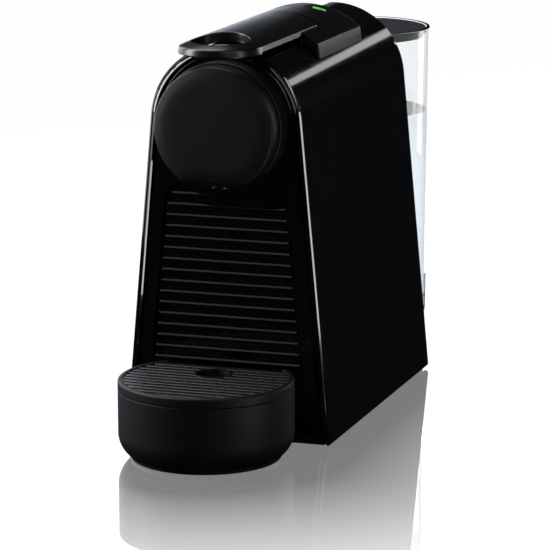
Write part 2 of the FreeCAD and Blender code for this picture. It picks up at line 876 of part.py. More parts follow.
def rubber_feet():
    half = d.foot_apart / 2
    places = [(side * half, back(depth)) for side in (-1, 1) for depth in (d.foot_front, d.foot_back)]
    return node("rubber_feet", group(*(bar_z(d.foot_radius, x, y, 0, d.foot_height) for x, y in places)))


def base_screws():
    low = d.foot_height - d.screw_head_thick
    end = base_top + d.screw_length - d.run_gap
    made = []
    for x, y in screw_places():
        head = bar_z(d.screw_head, x, y, low, d.foot_height)
        shank = bar_z(d.screw_radius, x, y, low, end)
        made.append(fuse(head, shank))
    return node("base_screws", group(*made))


# Drip tray: a round basin cut flat at the back, with a tongue that carries the container
def tray_form(shrink, low_end, top):
    """The basin's turned outline: a foot, a rounded underside and a straight wall."""
    radius = d.tray_radius - shrink
    turn = d.tray_round - shrink
    centre = d.tray_lift + d.tray_foot_height + d.tray_round * sine(d.tray_sweep)
    inset = d.tray_radius - d.tray_round + turn * cosine(d.tray_sweep)
    under = centre - turn * sine(d.tray_sweep)
    foot_radius = inset - d.tray_foot_inset
    foot = [] if low_end is None else [(foot_radius, low_end), (foot_radius, under)]
    first = under if low_end is None else low_end
    outline = [(0, first), *foot, (inset, under, turn), (radius, centre), (radius, top), (0, top)]
    disc = spun(outline, 0, back(-d.tray_centre), 0)
    return cut(disc, box(-FAR, FAR, back(-d.tray_flat - shrink), FAR, -FAR, FAR))


def tongue_floor():
    return base_top + d.run_gap


def drip_tray():
    hollow = tray_form(d.tray_wall, None, d.tray_top + OVER)
    basin = cut(tray_form(size(0), d.tray_lift, d.tray_top), hollow)
    low = tongue_floor()
    high = low + d.tongue_thick
    inner = d.bin_half + d.fit_gap
    outer = inner + d.tongue_rail
    start = back(-d.tray_flat - d.tray_wall / 2)
    end = back(d.bin_back + d.fit_gap)
    tongue = box(-outer, outer, start, end, low, high)
    rails = [
        box(x0, x1, start, end, low, high + d.tongue_rail_height)
        for x0, x1 in ((-outer, -inner), (inner, outer))
    ]
    return node("drip_tray", fuse(basin, tongue, *rails))


# Drip grid: a rim band with slats, two braces under them and a round drain
def drip_grid():
    low = d.tray_top + d.fit_gap
    top = low + d.grid_rim
    inner = d.tray_radius - d.grid_band
    edge = d.grid_edge
    outer = d.tray_radius
    band_outline = [(inner, low), (outer, low), (outer, top - edge, edge), (outer - edge, top), (inner, top)]
    centre = back(-d.tray_centre)
    behind = box(-FAR, FAR, back(-d.tray_flat), FAR, -FAR, FAR)
    band = cut(spun(band_outline, 0, centre, 0), behind)
    slat_top = top - d.slat_sink
    slat_low = slat_top - d.slat_height
    disc = cut(bar_z(inner + d.grid_band / 2, 0, centre, low, top), behind)
    rear = box(-FAR, FAR, back(-d.tray_flat - d.grid_band), back(-d.tray_flat), low, top - edge)
    slats = []
    for index in range(int(d.slat_count.value)):
        y = back(-d.slat_start - index * d.slat_pitch)
        slats.append(box(-outer, outer, y - d.slat_thick, y, slat_low, slat_top))
    braces = []
    for side in (-1, 1):
        x = side * d.brace_apart / 2 - d.brace_thick / 2
        braces.append(box(x, x + d.brace_thick, -FAR, FAR, low, slat_low + d.slat_sink))
    drain_y = back(-d.drain_depth)
    collar = bar_z(d.drain_radius + d.drain_rim, 0, drain_y, low, slat_top)
    filling = common(fuse(rear, collar, *slats, *braces), disc)
    drain = bar_z(d.drain_radius, 0, drain_y, 0, FAR)
    return node("drip_grid", cut(fuse(band, filling), drain))


# Capsule container: an open bin behind the ribbed panel
def bin_front():
    return d.panel_face + d.panel_wall + d.fit_gap


def capsule_container():
    low = tongue_floor() + d.tongue_thick + d.fit_gap
    start, end, half, wall = back(bin_front()), back(d.bin_back), d.bin_half, d.bin_wall
    outer = box(-half, half, start, end, low, d.bin_top)
    hollow = box(-half + wall, half - wall, start + wall, end - wall, low + wall, FAR)
    return node("capsule_container", cut(outer, hollow))


def ribbed_panel():
    low = tongue_floor() + d.tongue_thick + d.tongue_rail_height + d.fit_gap
    start = back(d.panel_face)
    plate = prism_y(panel_outline(size(0), low), start, back(d.panel_face + d.panel_wall))
    limit = prism_y(panel_outline(-d.rib_margin, low), back(0), back(d.panel_face + d.panel_wall))
    ribs = []
    for index in range(int(d.rib_count.value)):
        z = d.rib_low + index * d.rib_pitch - d.rib_height / 2
        ribs.append(box(-FAR / 2, FAR / 2, start - d.rib_rise, start + d.panel_wall / 2, z, z + d.rib_height))
    return node("ribbed_panel", fuse(plate, common(fuse(*ribs), limit)))


# Brewing unit: capsule plate, sliding cage, toggle links and the frame round them
def capsule_plate():
    start = back(d.plate_recess + d.plate_wall + d.fit_gap)
    disc = bar_y(d.plate_radius, 0, start, start + d.plate_thick, d.brew_height)
    hub = bar_y(d.hub_radius, 0, back(-d.chin_back + d.fit_gap), start + d.plate_thick, d.brew_height)
    bore = bar_y(d.hub_bore, 0, back(-FAR), start + d.plate_thick + OVER, d.brew_height)
    return node("capsule_plate", cut(fuse(disc, hub), bore))


def capsule_cage():
    z = d.brew_height
    cup_back = cage_wall + d.cage_back_wall
    cup = bar_y(d.cage_radius, 0, back(d.cage_front), back(cup_back), z)
    cavity = bar_y(d.cage_bore, 0, back(d.cage_front - OVER), back(cage_wall), z)
    stem = bar_y(d.cage_stem_radius, 0, back(cage_wall + d.cage_back_wall / 2), back(d.cage_stem_back), z)
    lugs = []
    for side in (-1, 1):
        x0, x1 = span(side, lug_start, lug_start + d.lug_thick)
        lug = box(
            x0, x1, back(cage_wall + d.cage_back_wall / 2), back(d.pivot_front + d.lug_width / 2),
            z - d.lug_width / 2, z + d.lug_width / 2,
        )
        lugs.append(lug)
    pin_half = link_start + d.link_thick
    pin = bar_x(d.pivot_radius, -pin_half, pin_half, back(d.pivot_front), z)
    return node("capsule_cage", fuse(cut(cup, cavity), stem, pin, *lugs))


def needle_plate():
    start = cage_wall - d.fit_gap
    z = d.brew_height
    front = start - d.cage_back_wall / 2
    disc = bar_y(d.cage_bore - d.fit_gap, 0, back(front), back(start), z)
    needles = []
    for index in range(int(d.needle_count.value)):
        angle = 90 + index * size(360) / d.needle_count
        x = d.needle_ring * cosine(angle)
        height = z + d.needle_ring * sine(angle)
        needles.append(bar_y(d.needle_radius, x, back(front - d.needle_length), back(start), height))
    return node("needle_plate", fuse(disc, *needles))


def links(name, first, pivot, far):
    """A pair of toggle bars from their pivot to the open knee."""
    z = d.brew_height
    near, end = sorted((pivot, far), key=lambda depth: depth.value)
    pair = []
    for side in (-1, 1):
        x0, x1 = span(side, first, first + d.link_thick)
        bar = box(x0, x1, back(near), back(end), z - d.link_width / 2, z + d.link_width / 2)
        ends = [bar_x(d.link_width / 2, x0, x1, back(depth), z) for depth in (near, end)]
        bore = d.pivot_radius + d.pin_gap
        bores = [bar_x(bore, x0 - OVER, x1 + OVER, back(depth), z) for depth in (near, end)]
        pair.append(cut(fuse(bar, *ends), *bores))
    return node(name, group(*pair))


def brew_frame():
    start = back(d.plate_recess + d.plate_wall + d.fit_gap)
    end = back(d.bulkhead_front - d.fit_gap)
    plates = []
    for side in (-1, 1):
        x0, x1 = span(side, d.frame_half, frame_out)
        plates.append(box(x0, x1, start, end, d.frame_low, d.frame_high))
    tie = bar_x(d.tie_radius, -frame_out, frame_out, back(d.tie_depth), d.tie_height)
    return node("brew_frame", fuse(*plates, tie))


def bulkhead():
    start, end = back(d.bulkhead_front), back(d.bulkhead_front + d.bulkhead_wall)
    wall = prism_y(arch_outline(inner_radius, base_top + d.fit_gap), start, end)
    hole = bar_y(d.bulkhead_hole, 0, start - OVER, end + OVER, d.brew_height)
    board_room = button_board_top() - d.board_thick - d.run_gap
    above = box(-FAR, FAR, start - OVER, end + OVER, board_room, FAR)
    lug_in = rear_link_start + d.link_thick + d.link_gap
    lugs = []
    for side in (-1, 1):
        x0, x1 = span(side, lug_in, lug_in + d.lug_thick)
        y0 = back(d.pivot_back - d.lug_width / 2)
        lugs.append(box(x0, x1, y0, end, d.brew_height - d.lug_width / 2, d.brew_height + d.lug_width / 2))
        p0, p1 = span(side, rear_link_start, lug_in + d.lug_thick)
        lugs.append(bar_x(d.pivot_radius, p0, p1, back(d.pivot_back), d.brew_height))
    return node("bulkhead", fuse(cut(wall, hole, above), *lugs))


def inlet_block():
    start = block_start
    end = start + d.block_thick
    body = box(-d.block_half, d.block_side, back(start), back(end), d.block_low, d.block_high)
    bore = bar_y(d.cage_stem_radius + d.pin_gap, 0, back(start - OVER), back(end + OVER), d.brew_height)
    barb_end = back(end + d.barb_length)
    barb = bar_y(d.barb_radius, d.brew_hose_side, back(start + OVER), barb_end, d.brew_hose_height)
    return node("inlet_block", fuse(cut(body, bore), barb))


def stem_seal():
    start = back(block_end)
    end = start + d.seal_thick
    ring = bar_y(d.seal_radius, 0, start, end, d.brew_height)
    bore = bar_y(d.cage_stem_radius + d.pin_gap, 0, start - OVER, end + OVER, d.brew_height)
    return node("stem_seal", cut(ring, bore))


# Pump: a vibration pump held in two rubber rings on a bracket
def pump():
    x, y = d.pump_side, back(d.pump_depth)
    half = d.coil_side / 2
    barrel_bar = bar_z(d.pump_radius, x, y, d.pump_low, d.pump_high)
    coil = box(x - half, x + half, y - half, y + half, d.coil_low, d.coil_high)
    barbs = bar_z(d.barb_radius, x, y, d.pump_low - d.barb_length, d.pump_high + d.barb_length)
    return node("pump", fuse(barrel_bar, coil, barbs))


def mount_levels():
    return (d.pump_low + d.mount_inset, d.pump_high - d.mount_inset - d.mount_height)


def pump_mounts():
    x, y = d.pump_side, back(d.pump_depth)
    rings = []
    for low in mount_levels():
        high = low + d.mount_height
        bore = bar_z(d.pump_radius + d.pin_gap, x, y, low - OVER, high + OVER)
        rings.append(cut(bar_z(d.mount_radius, x, y, low, high), bore))
    return node("pump_mounts", group(*rings))


def pump_bracket():
    x, y = d.pump_side, back(d.pump_depth)
    start = back(block_start)
    shelf_half = d.mount_radius + d.shelf_rim
    x0, x1 = x - shelf_half, x + shelf_half
    sink = (d.mount_height - d.shelf_thick) / 2
    levels = [low + sink for low in mount_levels()]
    spine = box(x0, x1, start, start + d.bulkhead_wall, levels[0], levels[1] + d.shelf_thick)
    shelves = [box(x0, x1, start, y, low, low + d.shelf_thick) for low in levels]
    hole = bar_z(d.mount_radius + d.pin_gap, x, y, levels[0] - OVER, levels[1] + d.shelf_thick + OVER)
    return node("pump_bracket", cut(fuse(spine, *shelves), hole))


def heater():
    left, right, start, end = d.heater_left, d.heater_right, back(d.heater_front), back(d.heater_back)
    low, high = d.heater_low, d.heater_high
    body = box(left, right, start, end, low, high)
    inset = d.heater_boss * 1.5
    boss_places = ((left + inset, low + inset), (right - inset, high - inset * 2))
    bosses = [bar_y(d.heater_boss, x, back(block_start), end, z) for x, z in boss_places]
    pitch = (high - low) / d.heater_fin_count
    rise = d.heater_fin_rise
    fins = []
    for index in range(int(d.heater_fin_count.value)):
        z = low + pitch * index
        fins.append(box(left - rise, right + rise, start, end, z, z + d.heater_fin))
    inlet = bar_y(d.barb_radius, d.pressure_side, start, end + d.barb_length, d.pressure_height)
    outlet = bar_z(d.barb_radius, d.brew_hose_side, back(d.brew_hose_depth), low, high + d.barb_length)
    return node("heater", fuse(body, *bosses, *fins, inlet, outlet))


def flow_meter():
    y = back(d.pump_depth)
    case = bar_z(d.meter_radius, 0, y, base_top, base_top + d.meter_height)
    reach = d.meter_radius + d.barb_length
    inlet = bar_y(d.barb_radius, 0, y, y + reach, d.hose_height)
    outlet = bar_x(d.barb_radius, -reach, 0, y, meter_barb)
    return node("flow_meter", fuse(case, inlet, outlet))


def suction_hose():
    start = -d.meter_radius - d.fit_gap
    y = back(d.pump_depth)
    end = d.pump_low - d.fit_gap
    points = [(start, y, meter_barb), (d.pump_side, y, meter_barb), (d.pump_side, y, end)]
    return node("suction_hose", hose(points, d.suction_bend, d.hose_radius, bore_radius))


def pressure_hose():
    x, y = d.pump_side, back(d.pump_depth)
    low = d.pump_high + d.fit_gap
    end = back(d.heater_back) + d.fit_gap
    side, z = d.pressure_side, d.pressure_height
    points = [(x, y, low), (x, y, z), (side, y, z), (side, end, z)]
    return node("pressure_hose", hose(points, d.pressure_bend, d.hose_radius, bore_radius))


def brew_hose():
    x, y = d.brew_hose_side, back(d.brew_hose_depth)
    end = back(block_end) + d.fit_gap
    points = [(x, y, d.heater_high + d.fit_gap), (x, y, d.brew_hose_height), (x, end, d.brew_hose_height)]
    return node("brew_hose", hose(points, d.brew_bend, d.hose_radius, bore_radius))


def inlet_hose():
    start = back(d.pump_depth + d.meter_radius) + d.fit_gap
    end = back(d.tank_centre) - socket_radius - d.fit_gap
    tube = bar_y(d.hose_radius, 0, start, end, d.hose_height)
    return node("inlet_hose", cut(tube, bar_y(bore_radius, 0, start - OVER, end + OVER, d.hose_height)))


# Rear cover: a flat panel with vents, a hose hole and a cable gland
def rear_cover():
    end = back(d.shell_depth - d.cover_back)
    start = end - d.cover_wall
    plate = prism_y(arch_outline(inner_radius, base_top + d.fit_gap), start, end)
    hose_hole = bar_y(d.hose_radius + d.fit_gap, 0, start - OVER, end + OVER, d.hose_height)
    gland_hole = bar_y(d.gland_radius + d.pin_gap, d.gland_side, start - OVER, end + OVER, d.gland_height)
    vents = []
    for index in range(int(d.vent_count.value)):
        z = d.vent_low + index * d.vent_pitch
        vents.append(box(-d.vent_half, d.vent_half, start - OVER, end + OVER, z, z + d.vent_height))
    stand_end = start + d.cover_wall / 2
    stands = [bar_y(d.stand_radius, x, main_board_face(), stand_end, z) for x, z in stand_places()]
    return node("rear_cover", fuse(cut(plate, hose_hole, gland_hole, *vents), *stands))


def cable_gland():
    end = back(d.shell_depth - d.cover_back)
    start = end - d.cover_wall
    outside = end + d.gland_flange_thick
    flange = bar_y(d.gland_flange, d.gland_side, end, outside, d.gland_height)
    sleeve = bar_y(d.gland_radius, d.gland_side, start - d.cover_wall, outside, d.gland_height)
    bore = bar_y(d.gland_bore, d.gland_side, back(0), FAR, d.gland_height)
    return node("cable_gland", cut(fuse(flange, sleeve), bore))


def main_board_face():
    return back(d.shell_depth - d.cover_back - d.cover_wall - d.main_board_stand)


def stand_places():
    inset = d.stand_radius * 2
    return [
        (side * (d.main_board_half - inset), height)
        for side in (-1, 1)
        for height in (d.main_board_low + inset, d.main_board_high - inset)
    ]


def main_board():
    face = main_board_face()
    half = d.main_board_half
    low, high = d.main_board_low, d.main_board_high
    return node("main_board", box(-half, half, face - d.board_thick, face, low, high))


def board_parts():
    face = main_board_face() - d.board_thick
    front = face - d.relay_rise
    low = d.main_board_low + d.relay_height / 4
    relays = [
        box(x, x + d.relay_width, front, face, low, low + d.relay_height)
        for x in (-d.main_board_half + d.stand_radius, d.stand_radius * 2)
    ]
    height = d.main_board_high - d.capacitor_radius * 2
    capacitors = [
        bar_y(d.capacitor_radius, x, front, face, height)
        for x in (-d.main_board_half / 2, d.main_board_half / 2)
    ]
    return node("board_parts", group(*relays, *capacitors))


# Water tank: a clear D-shaped beaker, its stand, valve, socket and hinged lid
def tank_cone(shrink, front, z0, z1):
    """The tank's tapered form, moved in by a wall and cut flat at its front."""
    height = d.tank_rim - d.tank_low

    def radius(z):
        return d.tank_radius - shrink - d.tank_draft * (d.tank_rim - z) / height

    cone = doc.addObject("Part::Cone", "cone")
    bind(cone, Radius1=radius(z0), Radius2=radius(z1), Height=z1 - z0)
    place(cone, 0, back(d.tank_centre), z0)
    return cut(cone, box(-FAR, FAR, -FAR, back(front), -FAR, FAR))


def lid_axis():
    return back(d.tank_front + d.tank_wall + d.lid_axis_in), d.tank_rim + d.lid_axis_rise


def lid_ear_start():
    return d.lid_knuckle_half + d.fit_gap


def water_tank():
    y, z = lid_axis()
    outer = tank_cone(size(0), d.tank_front, d.tank_low, d.tank_rim)
    floor = d.tank_low + d.tank_wall
    hollow = tank_cone(d.tank_wall, d.tank_front + d.tank_wall, floor, d.tank_rim + OVER)
    outlet = bar_z(d.outlet_radius, 0, back(d.tank_centre), d.outlet_low, floor)
    drain = bar_z(d.outlet_bore, 0, back(d.tank_centre), 0, floor + OVER)
    ears = []
    for side in (-1, 1):
        x0, x1 = span(side, lid_ear_start(), lid_ear_start() + d.lid_ear_thick)
        arm = box(x0, x1, back(d.tank_front + d.tank_wall / 2), y, z - d.lid_ear_radius * 2, z)
        ears.append(fuse(arm, bar_x(d.lid_ear_radius, x0, x1, y, z)))
    bore = bar_x(d.lid_pin_radius + d.pin_gap, -FAR, FAR, y, z)
    return node("water_tank", cut(fuse(cut(outer, hollow), outlet, *ears), drain, bore))


def lid_pin():
    half = lid_ear_start() + d.lid_ear_thick
    return node("lid_pin", bar_x(d.lid_pin_radius, -half, half, *lid_axis()))


def tank_lid():
    y, z = lid_axis()
    top = d.tank_rim - d.lid_drop
    low = top - d.lid_thick
    inner_front = d.tank_front + d.tank_wall + d.lid_gap
    plate = tank_cone(d.tank_wall + d.lid_gap, inner_front, low, top)
    skirt_shrink = d.tank_wall + d.lid_gap + d.lid_skirt_inset
    skirt = tank_cone(skirt_shrink, inner_front + d.lid_skirt_inset, low - d.lid_skirt, low)
    ear_room = d.lid_ear_radius + d.run_gap
    rooms = []
    for side in (-1, 1):
        x0, x1 = span(side, lid_ear_start() - d.run_gap, lid_ear_start() + d.lid_ear_thick + d.run_gap)
        rooms.append(box(x0, x1, back(d.tank_front), y + ear_room * 2, z - ear_room * 3, FAR))
    knuckle = bar_x(d.lid_knuckle, -d.lid_knuckle_half, d.lid_knuckle_half, y, z)
    web = box(-d.lid_knuckle_half, d.lid_knuckle_half, y - d.lid_knuckle, y + d.lid_knuckle, low, z)
    bore = bar_x(d.lid_pin_radius + d.pin_gap, -FAR, FAR, y, z)
    notch_y = back(d.tank_centre + d.tank_radius - d.tank_wall - d.lid_gap - d.notch_bite) + d.notch_radius
    notch = bar_z(d.notch_radius, 0, notch_y, low - d.lid_skirt * 2, FAR)
    return node("tank_lid", cut(fuse(cut(fuse(plate, skirt), *rooms), knuckle, web), bore, notch))


def tank_valve():
    y = back(d.tank_centre)
    seat = d.tank_low + d.tank_wall + d.run_gap
    disc = bar_z(d.valve_disc, 0, y, seat, seat + d.valve_thick)
    stem = bar_z(d.valve_stem, 0, y, d.outlet_low, seat + d.valve_thick)
    return node("tank_valve", fuse(disc, stem))


def tank_socket():
    y = back(d.tank_centre)
    cup = bar_z(socket_radius, 0, y, base_top, d.socket_top)
    well = bar_z(d.outlet_radius + d.run_gap, 0, y, base_top + d.socket_floor, d.socket_top + OVER)
    pin = bar_z(d.socket_pin, 0, y, base_top, d.outlet_low - d.run_gap)
    front = y - socket_radius
    barb = bar_y(d.barb_radius, 0, front - d.barb_length, front + d.socket_wall / 2, d.hose_height)
    return node("tank_socket", fuse(cut(cup, well), pin, barb))


def tank_stand():
    radius = tank_foot - d.stand_inset
    top = d.tank_low - d.run_gap
    outer = tank_round(radius, d.tank_front, base_top, top)
    wall = d.stand_wall
    hollow = tank_round(radius - wall, d.tank_front + wall, base_top - OVER, top - wall)
    well = bar_z(d.outlet_radius + d.run_gap, 0, back(d.tank_centre), 0, FAR)
    gap = d.hose_radius + d.run_gap
    start, end = back(d.tank_front) - OVER, back(d.tank_front + wall) + OVER
    hose_slot = box(-gap, gap, start, end, base_top - OVER, d.hose_height + gap)
    return node("tank_stand", cut(outer, hollow, well, hose_slot))


for make in (
    outer_shell, face_plate, head_ring, head_cap, coffee_spout, hood, lever, lever_pin, button_board,
    button_switches, base_plate, rubber_feet, base_screws, drip_tray, drip_grid, capsule_container,
    ribbed_panel, capsule_plate, capsule_cage, needle_plate, brew_frame, bulkhead, inlet_block, stem_seal,
    pump, pump_mounts, pump_bracket, heater, flow_meter, suction_hose, pressure_hose, brew_hose, inlet_hose,
    rear_cover, cable_gland, main_board, board_parts, water_tank, lid_pin, tank_lid, tank_valve, tank_socket,
    tank_stand,
):
    make()
for side_name, side_x in zip(("button_left", "button_right"), button_sides()):
    button(side_name, side_x)
links("front_links", link_start, d.pivot_front, knee)
links("rear_links", rear_link_start, d.pivot_back, knee)

doc.recompute()
failed = [thing.Name for thing in doc.Objects if {"Invalid", "Error"} & set(thing.State)]
if failed:
    raise SystemExit(f"objects that failed: {failed}")
for thing in nodes:
    if thing.Shape.isNull() or not thing.Shape.isValid() or not thing.Shape.Solids:
        raise SystemExit(f"no valid solid: {thing.Label}")

os.makedirs("parts", exist_ok=True)
for thing in nodes:
    thing.Shape.exportStep(f"parts/{thing.Label}.step")
    corners = thing.Shape.BoundBox
    print(
        f"{thing.Label}: {len(thing.Shape.Solids)} solid(s), {thing.Shape.Volume / 1000:.2f} cm3,"
        f" x {corners.XMin:.1f} {corners.XMax:.1f} y {corners.YMin:.1f} {corners.YMax:.1f}"
        f" z {corners.ZMin:.1f} {corners.ZMax:.1f}"
    )
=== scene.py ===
import json
import math
from collections import namedtuple

import bmesh
import bpy
from mathutils import Matrix, Vector


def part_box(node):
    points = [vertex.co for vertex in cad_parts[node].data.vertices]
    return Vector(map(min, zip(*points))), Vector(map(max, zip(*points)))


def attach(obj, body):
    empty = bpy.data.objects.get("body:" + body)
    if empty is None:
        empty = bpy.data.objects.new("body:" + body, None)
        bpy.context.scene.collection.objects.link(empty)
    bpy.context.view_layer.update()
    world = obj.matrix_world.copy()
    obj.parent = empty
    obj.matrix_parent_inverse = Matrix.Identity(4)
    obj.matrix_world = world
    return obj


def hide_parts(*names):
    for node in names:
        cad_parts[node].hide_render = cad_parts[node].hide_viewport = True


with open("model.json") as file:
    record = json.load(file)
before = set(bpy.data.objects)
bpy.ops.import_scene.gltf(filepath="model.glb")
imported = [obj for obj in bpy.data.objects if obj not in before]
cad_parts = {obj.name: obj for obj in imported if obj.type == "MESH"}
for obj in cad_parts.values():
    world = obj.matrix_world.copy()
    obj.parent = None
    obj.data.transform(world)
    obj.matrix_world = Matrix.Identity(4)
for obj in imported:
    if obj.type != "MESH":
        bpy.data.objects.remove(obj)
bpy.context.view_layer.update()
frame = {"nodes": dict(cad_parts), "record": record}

MM = 0.001
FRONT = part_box("outer_shell")[0].y / MM

# Sleeve and front plate, in millimetres: x across, depth behind the sleeve's front, height above the floor
ARCH_HEIGHT = 162.5
ARCH_RADIUS = 40.0
ARCH_STEPS = 96
LEAN = math.radians(5.26)
SLEEVE_DEPTH = 181.0
SLEEVE_WALL = 3.0
SLEEVE_LOW = 1.5
PLATE_RADIUS = 36.8
PLATE_LOW = 6.2
PANEL_RADIUS = 28.7
PANEL_TOP = 131.0
PANEL_CORNER = 5.0

# Hood and lever
HOOD_RADIUS = 45.5
HOOD_UNDER = 40.2
HOOD_HALF = 30.9
HOOD_FRONT = 57.6
HOOD_BACK = 130.4
HINGE_DEPTH = 78.0
HINGE_HEIGHT = 197.5
HINGE_BORE = 1.55
LEVER_HALF = 21.0
LEVER_THICK = 2.9
NOSE_DEPTH = -5.0
NECK_DEPTH = 14.0
REAR_REACH = 16.7
REAR_SIDE = 8.6
BUTTON_DEPTH = 119.0
BUTTON_SIDE = 10.0
BUTTON_RADIUS = 45.3
BUTTON_LOW = 199
BUTTON_OVER = 215

# Tray and grid
TRAY_RADIUS = 44.0
TRAY_CENTRE = -30.9
TRAY_BACK = -3.0
TRAY_LIFT = 0.3
TRAY_FOOT = 2.0
TRAY_FOOT_INSET = 0.9
TRAY_ROUND = 13.8
TRAY_SWEEP = 53.0
TRAY_WALL = 2.2
TRAY_TOP = 35.1
GRID_LOW = 35.3
GRID_TOP = 40.2
SLAT_TOP = 39.7
SLAT_START = -7.1
SLAT_PITCH = 5.4
SLAT_COUNT = 12
SLAT_THICK = 2.8
DRAIN_DEPTH = -19.3
DRAIN_RADIUS = 8.6

# Tank
TANK_CENTRE = 213.0
TANK_FRONT = 182.3
TANK_LOW = 22.5
TANK_RIM = 185.5
TANK_RADIUS = 43.65
TANK_DRAFT = 2.0
TANK_WALL = 2.0
WATER_LEVEL = 139.0
LID_AXIS = (187.5, 186.3)
LID_BORE = 1.05
LID_EAR = 15.7

# Directions, tolerances in metres and in millimetres, and values that several pieces share
ACROSS = (0, -1, 0)
UPRIGHT = (0, 0, 1)
SIDEWAYS = (1, 0, 0)
TINY = 1e-6
TOUCH = 1e-3
CLEAR_TOP = 220
ROUND_STEPS = 192
SMOOTH_DEGREES = 35
ABS_IOR = 1.53

Turn = namedtuple("Turn", "centre axis degrees steps")


# Places and selection

def spot(x, depth, height):
    return Vector((x, FRONT + depth, height)) * MM


def step(x, depth, height):
    return Vector((x, depth, height)) * MM


def place_of(corner):
    x, y, z = corner.co / MM
    return x, y - FRONT, z


def object_mode():
    if bpy.context.mode != "OBJECT":
        bpy.ops.object.mode_set(mode="OBJECT")
    bpy.ops.object.select_all(action="DESELECT")


def only(piece):
    object_mode()
    piece.select_set(True)
    bpy.context.view_layer.objects.active = piece


def shape(piece, kind="VERT"):
    only(piece)
    bpy.ops.object.mode_set(mode="EDIT")
    bpy.ops.mesh.select_mode(type=kind)
    bpy.ops.mesh.select_all(action="SELECT")


def pick(piece, kind, test):
    """Edit mode with the vertices, edges or faces selected whose corners all lie where the test says."""
    shape(piece, kind)
    bpy.ops.mesh.select_all(action="DESELECT")
    mesh = bmesh.from_edit_mesh(piece.data)
    for element in {"VERT": mesh.verts, "EDGE": mesh.edges, "FACE": mesh.faces}[kind]:
        corners = [element] if kind == "VERT" else element.verts
        if all(test(*place_of(corner)) for corner in corners):
            element.select_set(True)
    bmesh.update_edit_mesh(piece.data)


def near(value, wanted):
    return abs(value - wanted) < TOUCH


# Starting shapes

def begin(name, add, **settings):
    object_mode()
    add(**settings)
    piece = bpy.context.active_object
    piece.name = name
    piece.data.name = name
    bpy.ops.object.transform_apply(location=True, rotation=True, scale=True)
    return piece


def block(name, low, high):
    middle = (spot(*low) + spot(*high)) / 2
    size = spot(*high) - spot(*low)
    return begin(name, bpy.ops.mesh.primitive_cube_add, size=1, location=middle, scale=size)


def rod(name, radius, start, end, sides=96):
    along = spot(*end) - spot(*start)
    return begin(
        name, bpy.ops.mesh.primitive_cylinder_add, vertices=sides, radius=radius * MM, depth=along.length,
        location=(spot(*start) + spot(*end)) / 2, rotation=along.to_track_quat("Z", "Y").to_euler(),
    )


def pin_bore(radius, half, depth, height):
    """A cutter for a pin's hole, from side to side."""
    return rod("bore", radius, (-half, depth, height), (half, depth, height), 32)


def wire(name, first, *runs):
    """A closed line of edges from point to point, in straight runs and in turns about a centre."""
    line = begin(name, bpy.ops.mesh.primitive_plane_add, size=MM, location=spot(*first))
    shape(line)
    bpy.ops.mesh.merge(type="CENTER")
    place = spot(*first)
    for run in runs:
        if isinstance(run, Turn):
            centre = spot(*run.centre)
            angle = math.radians(run.degrees)
            bpy.ops.mesh.spin(steps=run.steps, angle=-angle, center=centre, axis=run.axis)
            place = centre + Matrix.Rotation(angle, 3, run.axis) @ (place - centre)
        else:
            goal = spot(*run)
            bpy.ops.mesh.extrude_vertices_move(TRANSFORM_OT_translate={"value": goal - place})
            place = goal
    shape(line)
    bpy.ops.mesh.remove_doubles(threshold=TINY)
    return line


def fill(line):
    shape(line)
    bpy.ops.mesh.edge_face_add()
    return line


def pull(x, depth, height):
    """Extrudes what is selected by a shift."""
    bpy.ops.mesh.extrude_region_move(TRANSFORM_OT_translate={"value": step(x, depth, height)})


def slab(line, x, depth, height):
    """A filled outline pulled to a solid."""
    fill(line)
    pull(x, depth, height)
    return outward(line)


def turned(line, centre, axis, steps=128):
    """A profile turned to a solid about an axis."""
    shape(line)
    bpy.ops.mesh.spin(steps=steps, angle=math.tau, center=spot(*centre), axis=axis)
    return outward(line)


def outward(piece):
    shape(piece)
    bpy.ops.mesh.remove_doubles(threshold=TINY)
    bpy.ops.mesh.normals_make_consistent(inside=False)
    return piece


# Shaping and finishing

def modify(piece, kind, **settings):
    only(piece)
    modifier = piece.modifiers.new(kind.title(), kind)
    for name, value in settings.items():
        setattr(modifier, name, value)
    bpy.ops.object.modifier_apply(modifier=modifier.name)
    return piece


def combine(piece, operation, *tools):
    for tool in tools:
        modify(piece, "BOOLEAN", object=tool, operation=operation, solver="EXACT")
        bpy.data.objects.remove(tool)
    return piece


def cut(piece, *tools):
    return combine(piece, "DIFFERENCE", *tools)


def fuse(piece, *tools):
    return combine(piece, "UNION", *tools)


def slice_off(piece, place, side):
    """Cuts the piece through at a place, closes it and keeps what lies against the side's direction."""
    shape(piece)
    bpy.ops.mesh.bisect(plane_co=spot(*place), plane_no=side, use_fill=True, clear_outer=True)
    return outward(piece)


def bevel(width, segments):
    bpy.ops.mesh.bevel(offset=width * MM, segments=segments, affect="EDGES", clamp_overlap=False)


def soften(piece, width, segments=3, sharp=50, where=None):
    """Rounds the sharp edges, all of them or those whose ends lie where the test says."""
    shape(piece, "EDGE")
    bpy.ops.mesh.select_all(action="DESELECT")
    bpy.ops.mesh.edges_select_sharp(sharpness=math.radians(sharp))
    if where:
        mesh = bmesh.from_edit_mesh(piece.data)
        for edge in mesh.edges:
            if edge.select and not all(where(*place_of(corner)) for corner in edge.verts):
                edge.select_set(False)
        bmesh.update_edit_mesh(piece.data)
    bevel(width, segments)
    return piece


def copies(piece, places):
    """The piece and its copies in one mesh: each place is a shift and a stretch across."""
    made = [piece]
    for shift, stretch in places:
        only(piece)
        bpy.ops.object.duplicate()
        twin = bpy.context.active_object
        shape(twin)
        bpy.ops.transform.translate(value=step(*shift))
        bpy.ops.transform.resize(value=(stretch, 1, 1), center_override=(0, 0, 0))
        made.append(twin)
    return joined(*made)


def joined(first, *others):
    only(first)
    for other in others:
        other.select_set(True)
    bpy.ops.object.join()
    return first


